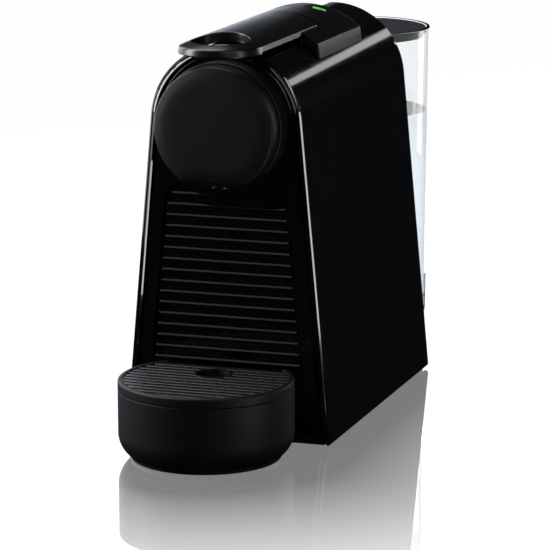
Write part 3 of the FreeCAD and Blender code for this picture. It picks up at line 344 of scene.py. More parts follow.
def wrap(piece, surface):
    """Lifts a flat piece on to a curved surface, each point by the surface's height over it."""
    object_mode()
    for corner in piece.data.vertices:
        x, depth, _ = place_of(corner)
        corner.co.z += surface(x, depth) * MM
    return piece


def finish_piece(piece, material, body, slot, *nodes):
    only(piece)
    bpy.ops.object.shade_smooth_by_angle(angle=math.radians(SMOOTH_DEGREES))
    modify(piece, "WEIGHTED_NORMAL", keep_sharp=True)
    piece.data.materials.clear()
    piece.data.materials.append(material)
    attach(piece, body)
    if nodes:
        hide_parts(*nodes)
    return piece


# Materials

def tint(code):
    """A colour written as sRGB hex, in linear light."""
    parts = [int(code[at:at + 2], 16) / 255 for at in (1, 3, 5)]
    return [p / 12.92 if p <= 0.04045 else ((p + 0.055) / 1.055) ** 2.4 for p in parts] + [1.0]


def put(tree, kind, inputs=None, **settings):
    """Adds a node with its settings, and gives its inputs values or links."""
    node = tree.nodes.new(kind)
    for name, value in settings.items():
        setattr(node, name, value)
    for name, value in (inputs or {}).items():
        if isinstance(value, bpy.types.NodeSocket):
            tree.links.new(value, node.inputs[name])
        else:
            node.inputs[name].default_value = value
    return node


def start_material(name, **values):
    made = bpy.data.materials.new(name)
    made.use_nodes = True
    tree = made.node_tree
    shader = tree.nodes["Principled BSDF"]
    for socket, value in values.items():
        shader.inputs[socket.replace("_", " ")].default_value = value
    place = put(tree, "ShaderNodeTexCoord").outputs["Object"]
    return made, tree, shader, place


def feature(size):
    """A texture scale that gives features of this size in millimetres."""
    return 1 / (size * MM)


def grain(tree, place, size, detail=2.0, stretch=(1, 1, 1)):
    spread = put(tree, "ShaderNodeMapping", {"Vector": place, "Scale": stretch}).outputs["Vector"]
    inputs = {"Vector": spread, "Scale": feature(size), "Detail": detail}
    return put(tree, "ShaderNodeTexNoise", inputs).outputs["Fac"]


def vary(tree, shader, socket, pattern, low, high):
    spread = put(tree, "ShaderNodeMapRange", {"Value": pattern, "To Min": low, "To Max": high})
    tree.links.new(spread.outputs["Result"], shader.inputs[socket])


def shade(tree, shader, pattern, dark, light, socket="Base Color"):
    ramp = put(tree, "ShaderNodeValToRGB", {"Fac": pattern})
    ramp.color_ramp.elements[0].color = tint(dark)
    ramp.color_ramp.elements[1].color = tint(light)
    tree.links.new(ramp.outputs["Color"], shader.inputs[socket])


def relief(tree, shader, pattern, height):
    bump = put(tree, "ShaderNodeBump", {"Height": pattern, "Distance": height * MM, "Strength": 1.0})
    tree.links.new(bump.outputs["Normal"], shader.inputs["Normal"])


# Black ABS from a polished mould: mirror sharp, with a slight flow waviness and a few duller clouds
def polished_abs():
    made, tree, shader, place = start_material("ABS, polished mould", IOR=ABS_IOR)
    shade(tree, shader, grain(tree, place, 30), "#040506", "#07080a")
    vary(tree, shader, "Roughness", grain(tree, place, 14), 0.05, 0.09)
    relief(tree, shader, grain(tree, place, 9), 0.004)
    return made


# Black ABS from a finely blasted mould: soft reflections that fade over a few millimetres
def silky_abs():
    made, tree, shader, place = start_material("ABS, fine blasted mould", IOR=ABS_IOR)
    shade(tree, shader, grain(tree, place, 25), "#08090b", "#0c0d10")
    vary(tree, shader, "Roughness", grain(tree, place, 5), 0.26, 0.32)
    relief(tree, shader, grain(tree, place, 0.8), 0.002)
    return made


# Black ABS from a spark-eroded mould: dull and even. The slats' copy is smoother, and its lighter grey is a
# painted sheen for the light on their tops.
# The real 0.3 mm grain is drawn at 0.8 mm so that it shows
def eroded_abs(name, dark, light, level, dullness):
    made, tree, shader, place = start_material(name, IOR=ABS_IOR, Specular_IOR_Level=level)
    shade(tree, shader, grain(tree, place, 0.8), dark, light)
    vary(tree, shader, "Roughness", grain(tree, place, 6), dullness, dullness + 0.08)
    relief(tree, shader, grain(tree, place, 0.8), 0.01)
    return made


# Clear SAN, injection moulded: water clear, with a slight waviness in its walls
def clear_san():
    made, tree, shader, place = start_material(
        "SAN, clear moulded", IOR=1.5, Transmission_Weight=1.0, Base_Color=tint("#fafcfd"))
    vary(tree, shader, "Roughness", grain(tree, place, 20), 0.0, 0.02)
    relief(tree, shader, grain(tree, place, 16), 0.02)
    return made


# Tap water at rest, with a barely moving surface
def still_water():
    made, tree, shader, place = start_material(
        "Water, still", IOR=1.333, Transmission_Weight=1.0, Roughness=0.0, Base_Color=tint("#f4f8fa"))
    relief(tree, shader, grain(tree, place, 18), 0.01)
    return made


# Moulded nitrile rubber: dull, with a fine dusty bloom
def nitrile_rubber():
    made, tree, shader, place = start_material("Nitrile rubber, moulded", IOR=1.52)
    shade(tree, shader, grain(tree, place, 2), "#121212", "#1f1e1d")
    vary(tree, shader, "Roughness", grain(tree, place, 3), 0.65, 0.85)
    relief(tree, shader, grain(tree, place, 0.7), 0.02)
    return made


# Extruded silicone tube: milky, with faint lines along it
def milky_silicone():
    made, tree, shader, place = start_material(
        "Silicone, extruded", IOR=1.43, Subsurface_Weight=0.3, Subsurface_Scale=2 * MM)
    shade(tree, shader, grain(tree, place, 4), "#c9c6bd", "#dedcd5")
    vary(tree, shader, "Roughness", grain(tree, place, 2), 0.35, 0.45)
    relief(tree, shader, grain(tree, place, 1.2), 0.01)
    return made


# Rolled steel: bright, with the fine lines of rolling
def rolled_steel():
    made, tree, shader, place = start_material("Steel, rolled", Metallic=1.0)
    lines = grain(tree, place, 0.9, stretch=(1, 1, 0.05))
    shade(tree, shader, grain(tree, place, 8), "#a9acae", "#c3c5c6")
    vary(tree, shader, "Roughness", lines, 0.22, 0.4)
    relief(tree, shader, lines, 0.004)
    return made


# Die-cast aluminium: grey, with a pebbled skin
def cast_aluminium():
    made, tree, shader, place = start_material("Aluminium, die-cast", Metallic=1.0)
    shade(tree, shader, grain(tree, place, 6), "#8f9192", "#a9abab")
    vary(tree, shader, "Roughness", grain(tree, place, 2), 0.42, 0.6)
    relief(tree, shader, grain(tree, place, 1.2), 0.03)
    return made


# Glass-filled nylon: mid grey, dull, with pale fibre flecks
def filled_nylon():
    made, tree, shader, place = start_material("Nylon, glass filled", IOR=1.53)
    shade(tree, shader, grain(tree, place, 1.0, 6.0, (1, 0.3, 1)), "#5d5f61", "#818385")
    vary(tree, shader, "Roughness", grain(tree, place, 3), 0.5, 0.65)
    relief(tree, shader, grain(tree, place, 1.0), 0.01)
    return made


# Zinc-plated sheet: spangled crystals a few millimetres wide
def zinc_plate():
    made, tree, shader, place = start_material("Steel, zinc plated", Metallic=1.0)
    spangle = put(tree, "ShaderNodeTexVoronoi", {"Vector": place, "Scale": feature(3)}).outputs["Color"]
    shade(tree, shader, spangle, "#8b8d8f", "#b4b6b8")
    vary(tree, shader, "Roughness", spangle, 0.3, 0.5)
    relief(tree, shader, grain(tree, place, 2), 0.005)
    return made


# Circuit board: green solder mask over copper tracks that show as lighter lines
def solder_mask():
    made, tree, shader, place = start_material("Glass epoxy, solder mask", IOR=1.55)
    inputs = {"Vector": place, "Scale": feature(9), "Distortion": 2.0, "Detail": 0.0}
    tracks = put(tree, "ShaderNodeTexWave", inputs, bands_direction="DIAGONAL").outputs["Fac"]
    shade(tree, shader, tracks, "#12482a", "#2a7a47")
    vary(tree, shader, "Roughness", tracks, 0.3, 0.4)
    relief(tree, shader, tracks, 0.03)
    return made


# Moulded epoxy cases of switches and chips: charcoal, with a faint speckle
def epoxy_case():
    made, tree, shader, place = start_material("Epoxy, moulded cases", IOR=1.5)
    shade(tree, shader, grain(tree, place, 1.0, 4.0), "#1c1c1e", "#333437")
    vary(tree, shader, "Roughness", grain(tree, place, 2), 0.4, 0.55)
    relief(tree, shader, grain(tree, place, 1.0), 0.01)
    return made


# Light guide under the button: lit green, brightest over its lamp
def lit_guide():
    made, tree, shader, place = start_material(
        "Acrylic light guide, lit green", IOR=1.49, Roughness=0.3, Emission_Strength=0.8)
    glow = grain(tree, place, 2.5)
    shade(tree, shader, glow, "#1f6a26", "#3aa33c")
    shade(tree, shader, glow, "#3f9a36", "#8fe070", "Emission Color")
    return made


gloss = polished_abs()
silky = silky_abs()
satin = eroded_abs("ABS, spark-eroded mould", "#060709", "#0c0d11", 0.22, 0.5)
# Slats' copy: lighter grey than the rim as a painted sheen for their lit tops; it is also smoother
painted_sheen_satin = eroded_abs("ABS, spark-eroded mould, smoother, painted sheen", "#121416", "#1b1d20", 0.5, 0.36)
clear = clear_san()
rubber = nitrile_rubber()
lit = lit_guide()
finishes = {
    "gloss_black": gloss, "satin_black": satin, "clear_plastic": clear, "black_rubber": rubber,
    "hose_silicone": milky_silicone(), "steel": rolled_steel(), "cast_aluminium": cast_aluminium(),
    "grey_plastic": filled_nylon(), "pump_metal": zinc_plate(), "board_green": solder_mask(),
    "board_components": epoxy_case(),
}
for row in frame["record"]["subparts"]:
    carried = frame["nodes"][row["node"]]
    carried.data.materials.clear()
    carried.data.materials.append(finishes[row["material_slot"]])


# Outlines

def lean_half(radius, height):
    """Half the width of an outline that leans with the sleeve's sides."""
    return (radius + (ARCH_HEIGHT - height) * math.sin(LEAN)) / math.cos(LEAN)


def arch_runs(radius, low, depth):
    shoulder = (radius * math.cos(LEAN), depth, ARCH_HEIGHT + radius * math.sin(LEAN))
    sweep = Turn((0, depth, ARCH_HEIGHT), ACROSS, 180 - 2 * math.degrees(LEAN), ARCH_STEPS)
    half = lean_half(radius, low)
    return (half, depth, low), shoulder, sweep, (-half, depth, low)


def panel_runs(grow, low, depth):
    radius, top = PANEL_RADIUS + grow, PANEL_TOP + grow
    shoulder = top - PANEL_CORNER
    half = lean_half(radius, shoulder)
    low_half = lean_half(radius, low)
    right = [(low_half, depth, low), (half, depth, shoulder), (half - PANEL_CORNER, depth, top)]
    return right + [(-x, at, height) for x, at, height in reversed(right)] + right[:1]


def arch_height(radius, x):
    return ARCH_HEIGHT + math.sqrt(radius * radius - x * x)


def arch_sweep(radius, half):
    """The degrees of an arc that is twice the half wide."""
    return 180 - 2 * math.degrees(math.acos(half / radius))


# Sleeve: an arched wall with chamfered rims, a fine line round its mouth, and a slot and a bay in its top
def sleeve():
    chamfer, edge = 0.9, 0.12
    slot_half, slot_front, slot_back = 19.5, 12, 46
    bay_half, bay_front, bay_back = 23.5, 52, 127
    piece = wire("sleeve", *arch_runs(ARCH_RADIUS, SLEEVE_LOW, 0))
    shape(piece, "EDGE")
    pull(0, SLEEVE_DEPTH, 0)
    outward(piece)
    modify(piece, "SOLIDIFY", thickness=SLEEVE_WALL * MM, offset=-1, use_even_offset=True)
    soften(piece, chamfer, 1)
    soften(piece, edge, 2, sharp=30)
    fuse(piece, ridge())
    slot = block("slot", (-slot_half, slot_front, ARCH_HEIGHT), (slot_half, slot_back, CLEAR_TOP))
    bay = block("bay", (-bay_half, bay_front, ARCH_HEIGHT), (bay_half, bay_back, CLEAR_TOP))
    cut(piece, slot, bay)
    finish_piece(piece, gloss, "housing", "gloss_black", "outer_shell")


def ridge():
    """A fine raised line along the inner edge of the sleeve's front, from its corners' radius and depth."""
    profile = (38.5, 0.1), (37.35, -0.65), (36.86, -0.16), (37.06, 0.4)
    foot = SLEEVE_LOW + 2
    out, up = math.cos(LEAN), math.sin(LEAN)
    corners = [(radius * out, depth, ARCH_HEIGHT + radius * up) for radius, depth in profile]
    piece = fill(wire("ridge", *corners, corners[0]))
    shape(piece, "FACE")
    sweep = math.pi - 2 * LEAN
    bpy.ops.mesh.spin(steps=ARCH_STEPS, angle=-sweep, center=spot(0, 0, ARCH_HEIGHT), axis=ACROSS)
    outward(piece)
    drop = ARCH_HEIGHT - foot
    for side in (-1, 1):
        pick(piece, "FACE", lambda x, depth, height: near(height * out - x * side * up, ARCH_HEIGHT * out))
        pull(side * drop * up, 0, -drop * out)
    return outward(piece)


# Front plate: fills the sleeve's mouth round the ribbed panel, with a slope along its edge
def front_plate():
    front, rise, inset, thick, edge = 0.1, 1.2, 1.6, 2, 0.35
    gap, ahead, past, hub_radius, hub_height = 0.5, 2, 5, 10.2, 160
    start, *runs = arch_runs(PLATE_RADIUS, PLATE_LOW, front + rise)
    piece = slab(wire("front_plate", start, *runs, start), 0, thick, 0)
    pick(piece, "FACE", lambda x, depth, height: near(depth, front + rise))
    pull(0, -rise, 0)
    share = 1 - inset / PLATE_RADIUS
    bpy.ops.transform.resize(value=(share, 1, share), center_override=spot(0, 0, ARCH_HEIGHT))
    pick(piece, "VERT", lambda x, depth, height: near(depth, front) and height < ARCH_HEIGHT / 2)
    drop = (ARCH_HEIGHT - PLATE_LOW) * (1 - share)
    bpy.ops.transform.translate(value=step(0, 0, -drop))
    outward(piece)
    opening = slab(wire("opening", *panel_runs(gap, -past, -ahead)), 0, 2 * past, 0)
    hub = rod("hub", hub_radius, (0, -past, hub_height), (0, past, hub_height))
    cut(piece, opening, hub)
    soften(piece, edge, 2, sharp=30)
    finish_piece(piece, gloss, "housing", "gloss_black", "face_plate")


# Ribbed panel: sixteen bars with sloping faces across a plate
def rib_panel():
    plate_low, plate_front, plate_thick, plate_edge = 13.1, 2, 2.4, 0.4
    low, pitch, count, tall, margin, edge = 41.2, 5.67, 16, 1.8, 1.4, 0.1
    face, flat, under_face, over_face, root = 0.5, 0.5, 0.9, 0.95, 3
    plate = slab(wire("rib_panel", *panel_runs(0, plate_low, plate_front)), 0, plate_thick, 0)
    soften(plate, plate_edge, 2)
    limit = PANEL_TOP - margin - PANEL_CORNER

    def half(height):
        edge_half = lean_half(PANEL_RADIUS - margin, min(height, limit))
        return edge_half - max(0, height + tall / 2 - limit)

    side, under, over = -half(low), low - tall / 2, low + tall / 2
    rib = slab(wire(
        "rib", (side, root, under), (side, under_face, under), (side, face, low - flat), (side, face, low),
        (side, over_face, over), (side, root, over), (side, root, under),
    ), 2 * half(low), 0, 0)
    soften(rib, edge, 2, sharp=20)
    steps = [(i * pitch, half(low + i * pitch) / half(low)) for i in range(1, count)]
    ribs = copies(rib, [((0, 0, rise), stretch) for rise, stretch in steps])
    fuse(plate, ribs)
    finish_piece(plate, gloss, "drip_drawer", "gloss_black", "ribbed_panel")


# Brewing head: a ring against the plate and a cap with a broad round edge
def drum(name, radius, flat, corner, depth, length, edge):
    drop = ARCH_HEIGHT - flat
    half = math.sqrt(radius * radius - drop * drop)
    sweep = 180 + 2 * math.degrees(math.asin(drop / radius))
    start = (half, depth, flat)
    piece = fill(wire(name, start, Turn((0, depth, ARCH_HEIGHT), ACROSS, sweep, 144), start))
    pick(piece, "VERT", lambda x, _, height: near(height, flat))
    bpy.ops.mesh.bevel(offset=corner * MM, segments=6, affect="VERTICES", clamp_overlap=False)
    pick(piece, "FACE", lambda *_: True)
    pull(0, -length, 0)
    outward(piece)
    pick(piece, "EDGE", lambda x, at, _: near(at, depth - length))
    bevel(edge, 6)
    return piece


def crown(piece, front, rings):
    """Raises the front face step by step to a shallow dome."""
    pick(piece, "FACE", lambda x, depth, height: near(depth, front))
    for rise, share in rings:
        pull(0, -rise, 0)
        bpy.ops.transform.resize(value=(share, 1, share), center_override=spot(0, 0, ARCH_HEIGHT))
    return outward(piece)


def head():
    back, length = -9.6, 9.1
    rings = (0.52, 0.955), (0.38, 0.943), (0.23, 0.927), (0.12, 0.905), (0.05, 0.87)
    ring = drum("ring_moulding", radius=32.5, flat=139.5, corner=2.0, depth=0.8, length=9.8, edge=0.8)
    cut(ring, drum("ring_bore", radius=30.0, flat=142.0, corner=1.5, depth=1.8, length=11.8, edge=0.5))
    finish_piece(ring, satin, "housing", "satin_black", "head_ring")
    cap = drum("cap_moulding", radius=31.3, flat=136.0, corner=3.5, depth=back, length=length, edge=1.8)
    crown(cap, back - length, rings)
    finish_piece(cap, satin, "housing", "satin_black", "head_cap")


# Spout: a shallow chin with sloping ends under the head, and a round nozzle
def spout():
    half, front, back, low, top = 15, -12, -1, 132.5, 136
    middle = (front + back) / 2
    chin = block("spout_chin", (-half, front, low), (half, back, top))
    pick(chin, "FACE", lambda x, _, height: near(height, low))
    bpy.ops.transform.resize(value=(0.72, 0.8, 1), center_override=spot(0, middle, low))
    soften(chin, 0.9, 3)
    neck = block("neck", (-14.4, -8.8, 135), (14.4, back, 139.3))
    duct = block("duct", (-7, -6, 134), (7, back, 170))
    nozzle = soften(rod("nozzle", 5, (0, middle, 131.6), (0, middle, 135), 64), 0.5, 3)
    bore = rod("bore", 3.6, (0, middle, 120), (0, middle, 134.5), 48)
    fuse(chin, neck, duct, nozzle)
    cut(chin, bore)
    finish_piece(chin, silky, "housing", "satin_black", "coffee_spout")


# Hood: the raised cover behind the lever, with two button holes
def reach(x, grow):
    """How far the lever's rear end reaches from its hinge line."""
    half, rise = LEVER_HALF + grow, REAR_REACH - REAR_SIDE
    bulge = (half * half + rise * rise) / (2 * rise)
    return REAR_REACH + grow - bulge + math.sqrt(bulge * bulge - x * x)


def hood():
    inset, edge, wall, side_gap, rear_gap, hole_gap = 0.9, 0.8, 2.5, 0.95, 0.6, 0.3
    notch_front, pocket_front, pocket_depth, bore_half, hole_low = 50, 97.8, 30, 26, 190
    top_half = HOOD_HALF - inset
    low, high = arch_height(HOOD_UNDER, HOOD_HALF), arch_height(HOOD_RADIUS, top_half)
    bulge = ((high - low) ** 2 + inset ** 2) / (2 * inset)
    side = math.degrees(math.asin((high - low) / bulge))
    centre = (0, HOOD_FRONT, ARCH_HEIGHT)
    line = wire(
        "hood_cover", (HOOD_HALF, HOOD_FRONT, low),
        Turn((HOOD_HALF - bulge, HOOD_FRONT, low), ACROSS, side, 8),
        Turn(centre, ACROSS, arch_sweep(HOOD_RADIUS, top_half), 80),
        Turn((bulge - HOOD_HALF, HOOD_FRONT, low), ACROSS, side, 8),
        Turn(centre, ACROSS, -arch_sweep(HOOD_UNDER, HOOD_HALF), 64),
    )
    piece = slab(line, 0, HOOD_BACK - HOOD_FRONT, 0)
    soften(piece, edge, 4)
    half = LEVER_HALF + side_gap
    notch = block("notch", (-half, notch_front, ARCH_HEIGHT), (half, HINGE_DEPTH, CLEAR_TOP))
    hinge = HINGE_DEPTH, HINGE_HEIGHT
    count = 24
    xs = [half * (1 - 2 * i / count) for i in range(count + 1)]
    rim = [(x, HINGE_DEPTH + reach(x, rear_gap), HINGE_HEIGHT) for x in xs]
    barrel = wire("barrel", (half, *hinge), *rim, (-half, *hinge), (half, *hinge))
    turned(barrel, (0, *hinge), SIDEWAYS)
    inner_half, inner = HOOD_HALF - wall, HOOD_RADIUS - wall
    start = (inner_half, pocket_front, ARCH_HEIGHT)
    pocket = slab(wire(
        "pocket", start, (inner_half, pocket_front, arch_height(inner, inner_half)),
        Turn((0, pocket_front, ARCH_HEIGHT), ACROSS, arch_sweep(inner, inner_half), 64),
        (-inner_half, pocket_front, ARCH_HEIGHT), start,
    ), 0, pocket_depth, 0)
    bore = pin_bore(HINGE_BORE, bore_half, *hinge)
    holes = [oval("hole", x, hole_gap, hole_low, BUTTON_OVER) for x in (-BUTTON_SIDE, BUTTON_SIDE)]
    cut(piece, notch, barrel, pocket, bore, *holes)
    finish_piece(piece, silky, "housing", "gloss_black", "hood")


def oval(name, x, grow, low, high):
    radius, straight = 4.5 + grow, 2.0
    start = (x + straight, BUTTON_DEPTH - radius, low)
    line = wire(
        name, start, Turn((x + straight, BUTTON_DEPTH, low), UPRIGHT, 180, 24),
        (x - straight, BUTTON_DEPTH + radius, low), Turn((x - straight, BUTTON_DEPTH, low), UPRIGHT, 180, 24),
        start,
    )
    return slab(line, 0, 0, high - low)


# Lever: a plate with a round nose and a finger eye, curved to the hood's arch, with two ears on its pin
def lever():
    eye_radius, eye_depth, collar_radius, collar_drop = 14.5, -6, 17.6, 2.4
    flare, lip_reach, lip_drop, edge = 1.035, 0.5, 0.9, 0.7
    ear_side, ear_half, ear_reach, ear_low, ear_over, bore_half = 16.25, 1.25, 3.2, 182, 3, 30
    half, sides, across, rows = LEVER_HALF, 4, 24, 24
    plate = begin(
        "lever_plate", bpy.ops.mesh.primitive_circle_add, vertices=64, radius=eye_radius * MM,
        location=spot(0, eye_depth, 0),
    )
    side = [NOSE_DEPTH + (NECK_DEPTH - NOSE_DEPTH) * i / sides for i in range(sides + 1)]
    back = [(half * (2 * i / across - 1), NECK_DEPTH, 0) for i in range(1, across + 1)]
    outline = wire(
        "outline", (half, side[-1], 0), *((half, at, 0) for at in reversed(side[:-1])),
        Turn((0, NOSE_DEPTH, 0), UPRIGHT, -180, 32), *((-half, at, 0) for at in side[1:]), *back,
    )
    joined(plate, outline)
    shape(plate, "EDGE")
    bpy.ops.mesh.bridge_edge_loops(number_cuts=6, interpolation="LINEAR")
    pick(plate, "EDGE", lambda x, at, _: near(at, NECK_DEPTH))
    for _ in range(rows):
        pull(0, (HINGE_DEPTH - NECK_DEPTH) / rows, 0)
    outward(plate)
    object_mode()
    for corner in plate.data.vertices:
        x, depth, _ = place_of(corner)
        if depth > NECK_DEPTH:
            rise = arch_height(HOOD_RADIUS, x) - HINGE_HEIGHT
            rear = HINGE_DEPTH + math.sqrt(reach(x, 0) ** 2 - rise * rise)
            share = (depth - NECK_DEPTH) / (HINGE_DEPTH - NECK_DEPTH)
            corner.co.y += share * (rear - HINGE_DEPTH) * MM

    def dome(x, depth):
        ahead = min(0, depth - NOSE_DEPTH)
        return ARCH_HEIGHT + math.sqrt(HOOD_RADIUS ** 2 - x * x - ahead * ahead)

    def underside(x, depth, height):
        return height < dome(x, depth) - LEVER_THICK / 2

    def lip(x, depth, height):
        return depth < NOSE_DEPTH + lip_reach and underside(x, depth, height)

    def collar(x, depth, height):
        return math.hypot(x, depth - eye_depth) < collar_radius and underside(x, depth, height)

    wrap(plate, dome)
    shape(plate, "FACE")
    pull(0, 0, -LEVER_THICK)
    bpy.ops.transform.resize(value=(flare, 1, 1), center_override=(0, 0, 0))
    outward(plate)
    for region, drop in ((lip, lip_drop), (collar, collar_drop)):
        pick(plate, "FACE", region)
        pull(0, 0, -drop)
        outward(plate)
    soften(plate, edge, 4)
    for x in (-ear_side, ear_side):
        ear = block(
            "ear", (x - ear_half, HINGE_DEPTH - ear_reach, ear_low),
            (x + ear_half, HINGE_DEPTH + ear_reach, HINGE_HEIGHT + ear_over),
        )
        fuse(plate, soften(ear, 0.5, 2))
    cut(plate, pin_bore(HINGE_BORE, bore_half, HINGE_DEPTH, HINGE_HEIGHT))
    finish_piece(plate, silky, "lever", "gloss_black", "lever")


# Buttons: oval caps that follow the hood's arch, with a lit cup sign on the right one
def buttons():
    for name, x in (("button_left", -BUTTON_SIDE), ("button_right", BUTTON_SIDE)):
        piece = oval(name + "_cap", x, 0, BUTTON_LOW, BUTTON_OVER)
        ends = (0, HOOD_FRONT, ARCH_HEIGHT), (0, HOOD_BACK, ARCH_HEIGHT)
        combine(piece, "INTERSECT", rod("round", BUTTON_RADIUS, *ends, 256))
        soften(piece, 0.4, 3)
        finish_piece(piece, silky, name, "gloss_black", name)
    sign("button_right", BUTTON_SIDE, 1.4)


def sign(name, x, scale):
    """A cup with a handle, a little proud of the button."""
    proud, lift = 0.12, 0.02

    def at(across, along):
        return x + across * scale, BUTTON_DEPTH + along * scale, 0

    bowl = wire(name + "_sign", at(-2.4, 1.7), at(-1.6, -1.5), at(1.2, -1.5), at(2.0, 1.7), at(-2.4, 1.7))
    slab(bowl, 0, 0, proud)
    start = at(1.7, 1.5)
    handle = wire(
        "handle", start, Turn(at(1.9, 0.3), UPRIGHT, -170, 16),
        at(1.55, -0.3), at(2.0, 0.1), at(2.0, 0.8), start,
    )
    slab(handle, 0, 0, proud)
    joined(bowl, handle)
    shape(bowl)
    bpy.ops.mesh.subdivide(number_cuts=3)
    wrap(bowl, lambda across, _: arch_height(BUTTON_RADIUS, across) + lift)
    finish_piece(bowl, lit, name, "board_components")


# Drip tray: a round basin on an inset foot, cut flat at the back, with a tongue that carries the container
def basin(name, shrink, low, top):
    """The tray's turned outline, shrunk by a wall for its hollow, with a foot where a low end is given."""
    turn, radius, at = TRAY_ROUND - shrink, TRAY_RADIUS - shrink, TRAY_CENTRE
    sweep = math.radians(TRAY_SWEEP)
    centre = TRAY_LIFT + TRAY_FOOT + TRAY_ROUND * math.sin(sweep)
    inset = TRAY_RADIUS - TRAY_ROUND + turn * math.cos(sweep)
    under = centre - turn * math.sin(sweep)
    foot = inset - TRAY_FOOT_INSET
    first, base = (under, []) if low is None else (low, [(foot, at, low), (foot, at, under)])
    line = wire(
        name, (0, at, first), *base, (inset, at, under),
        Turn((TRAY_RADIUS - TRAY_ROUND, at, centre), ACROSS, TRAY_SWEEP, 20),
        (radius, at, top), (0, at, top), (0, at, first),
    )
    turned(line, (0, at, 0), UPRIGHT, ROUND_STEPS)
    return slice_off(line, (0, TRAY_BACK - shrink, 0), (0, 1, 0))


def tray():
    half, front, back, low, thick = 33.2, -4.1, 104.2, 6.4, 2
    rail_half, rail_top = 1, 12.9
    bowl = soften(basin("tray_bowl", 0, TRAY_LIFT, TRAY_TOP), 0.4, 3)
    cut(bowl, basin("hollow", TRAY_WALL, None, TRAY_TOP + 5))
    tongue = block("tongue", (-half, front, low), (half, back, low + thick))
    rails = [
        block("rail", (x - rail_half, front, low), (x + rail_half, back, rail_top))
        for x in (rail_half - half, half - rail_half)
    ]
    fuse(bowl, tongue, *rails)
    finish_piece(bowl, satin, "drip_drawer", "satin_black", "drip_tray")


# Drip grid: a rim band with slats, two braces under them and a round drain
def chord(radius, depth):
    return math.sqrt(radius * radius - (depth - TRAY_CENTRE) ** 2)


def grid():
    band_wide, edge, anchor, slat_deep, at = 2.6, 1.2, 1.3, 3, TRAY_CENTRE
    bar_half, brace_side, brace_half, brace_front, brace_back, brace_drop = 33, 18, 1, -67.5, -3.5, 2.5
    outer = TRAY_RADIUS
    inner = outer - band_wide
    start = (inner, at, GRID_LOW)
    band = wire(
        "grid_top", start, (outer, at, GRID_LOW), (outer, at, GRID_TOP - edge),
        Turn((outer - edge, at, GRID_TOP - edge), ACROSS, 90, 6), (inner, at, GRID_TOP), start,
    )
    turned(band, (0, at, 0), UPRIGHT, ROUND_STEPS)
    slice_off(band, (0, TRAY_BACK, 0), (0, 1, 0))
    soften(band, 0.3, 2)

    def half(index):
        back = SLAT_START - index * SLAT_PITCH
        return min(chord(inner + anchor, back), chord(inner + anchor, back - SLAT_THICK))

    slat_ends = (-half(0), SLAT_START - SLAT_THICK, SLAT_TOP - slat_deep), (half(0), SLAT_START, SLAT_TOP)
    slat = soften(block("grid_slats", *slat_ends), 0.5, 3)
    slats = copies(slat, [((0, -i * SLAT_PITCH, 0), half(i) / half(0)) for i in range(1, SLAT_COUNT)])
    bar = block("bar", (-bar_half, TRAY_BACK - band_wide, GRID_LOW), (bar_half, TRAY_BACK, GRID_TOP - edge))
    brace_top = SLAT_TOP - brace_drop
    braces = [
        block("brace", (x - brace_half, brace_front, GRID_LOW), (x + brace_half, brace_back, brace_top))
        for x in (-brace_side, brace_side)
    ]
    drain = (0, DRAIN_DEPTH)
    collar = soften(rod("collar", DRAIN_RADIUS + 1.5, (*drain, GRID_LOW), (*drain, SLAT_TOP)), 0.4, 3)
    fuse(band, bar, *braces, collar)
    for piece in (band, slats):
        cut(piece, rod("drain", DRAIN_RADIUS, (*drain, 20), (*drain, 50)))
    finish_piece(band, satin, "drip_grid", "satin_black", "drip_grid")
    # The slats take the lighter copy, whose grey is a painted sheen
    finish_piece(slats, painted_sheen_satin, "drip_grid", "satin_black")


# Capsule container: an open bin behind the panel
def container():
    half, front, back, low, top, wall, over = 31, 4.6, 104, 8.6, 126, 1.8, 14
    piece = soften(block("capsule_bin", (-half, front, low), (half, back, top)), 2.5, 4)
    inner = half - wall
    room = block("room", (-inner, front + wall, low + wall), (inner, back - wall, top + over))
    cut(piece, soften(room, 2.0, 4))
    finish_piece(piece, satin, "drip_drawer", "satin_black", "capsule_container")


# Tank: a clear beaker with a flat front, its stand, its lid and the water in it
def tank_line(name, radius, front, corner, height):
    """A round outline about the tank's centre, flat at the front, with rounded corners there."""
    ahead = TANK_CENTRE - front
    reach_x = math.sqrt((radius - corner) ** 2 - (ahead - corner) ** 2)
    lean = math.degrees(math.atan2(ahead - corner, reach_x))
    start = (reach_x, front, height)
    right, left = (reach_x, front + corner, height), (-reach_x, front + corner, height)
    return wire(
        name, start, Turn(right, UPRIGHT, 90 - lean, 6),
        Turn((0, TANK_CENTRE, height), UPRIGHT, 180 + 2 * lean, ROUND_STEPS),
        Turn(left, UPRIGHT, 90 - lean, 6), start,
    )


def tank_form(name, shrink, front, low, high, corner):
    """A solid with the tank's outline and draft, between two heights."""
    def radius(height):
        return TANK_RADIUS - shrink - TANK_DRAFT * (TANK_RIM - height) / (TANK_RIM - TANK_LOW)

    piece = tank_line(name, radius(low), front, corner, low)
    joined(piece, tank_line("rim", radius(high), front, corner, high))
    shape(piece, "EDGE")
    bpy.ops.mesh.bridge_edge_loops()
    for end in (low, high):
        pick(piece, "EDGE", lambda x, depth, height: near(height, end))
        bpy.ops.mesh.edge_face_add()
    return outward(piece)


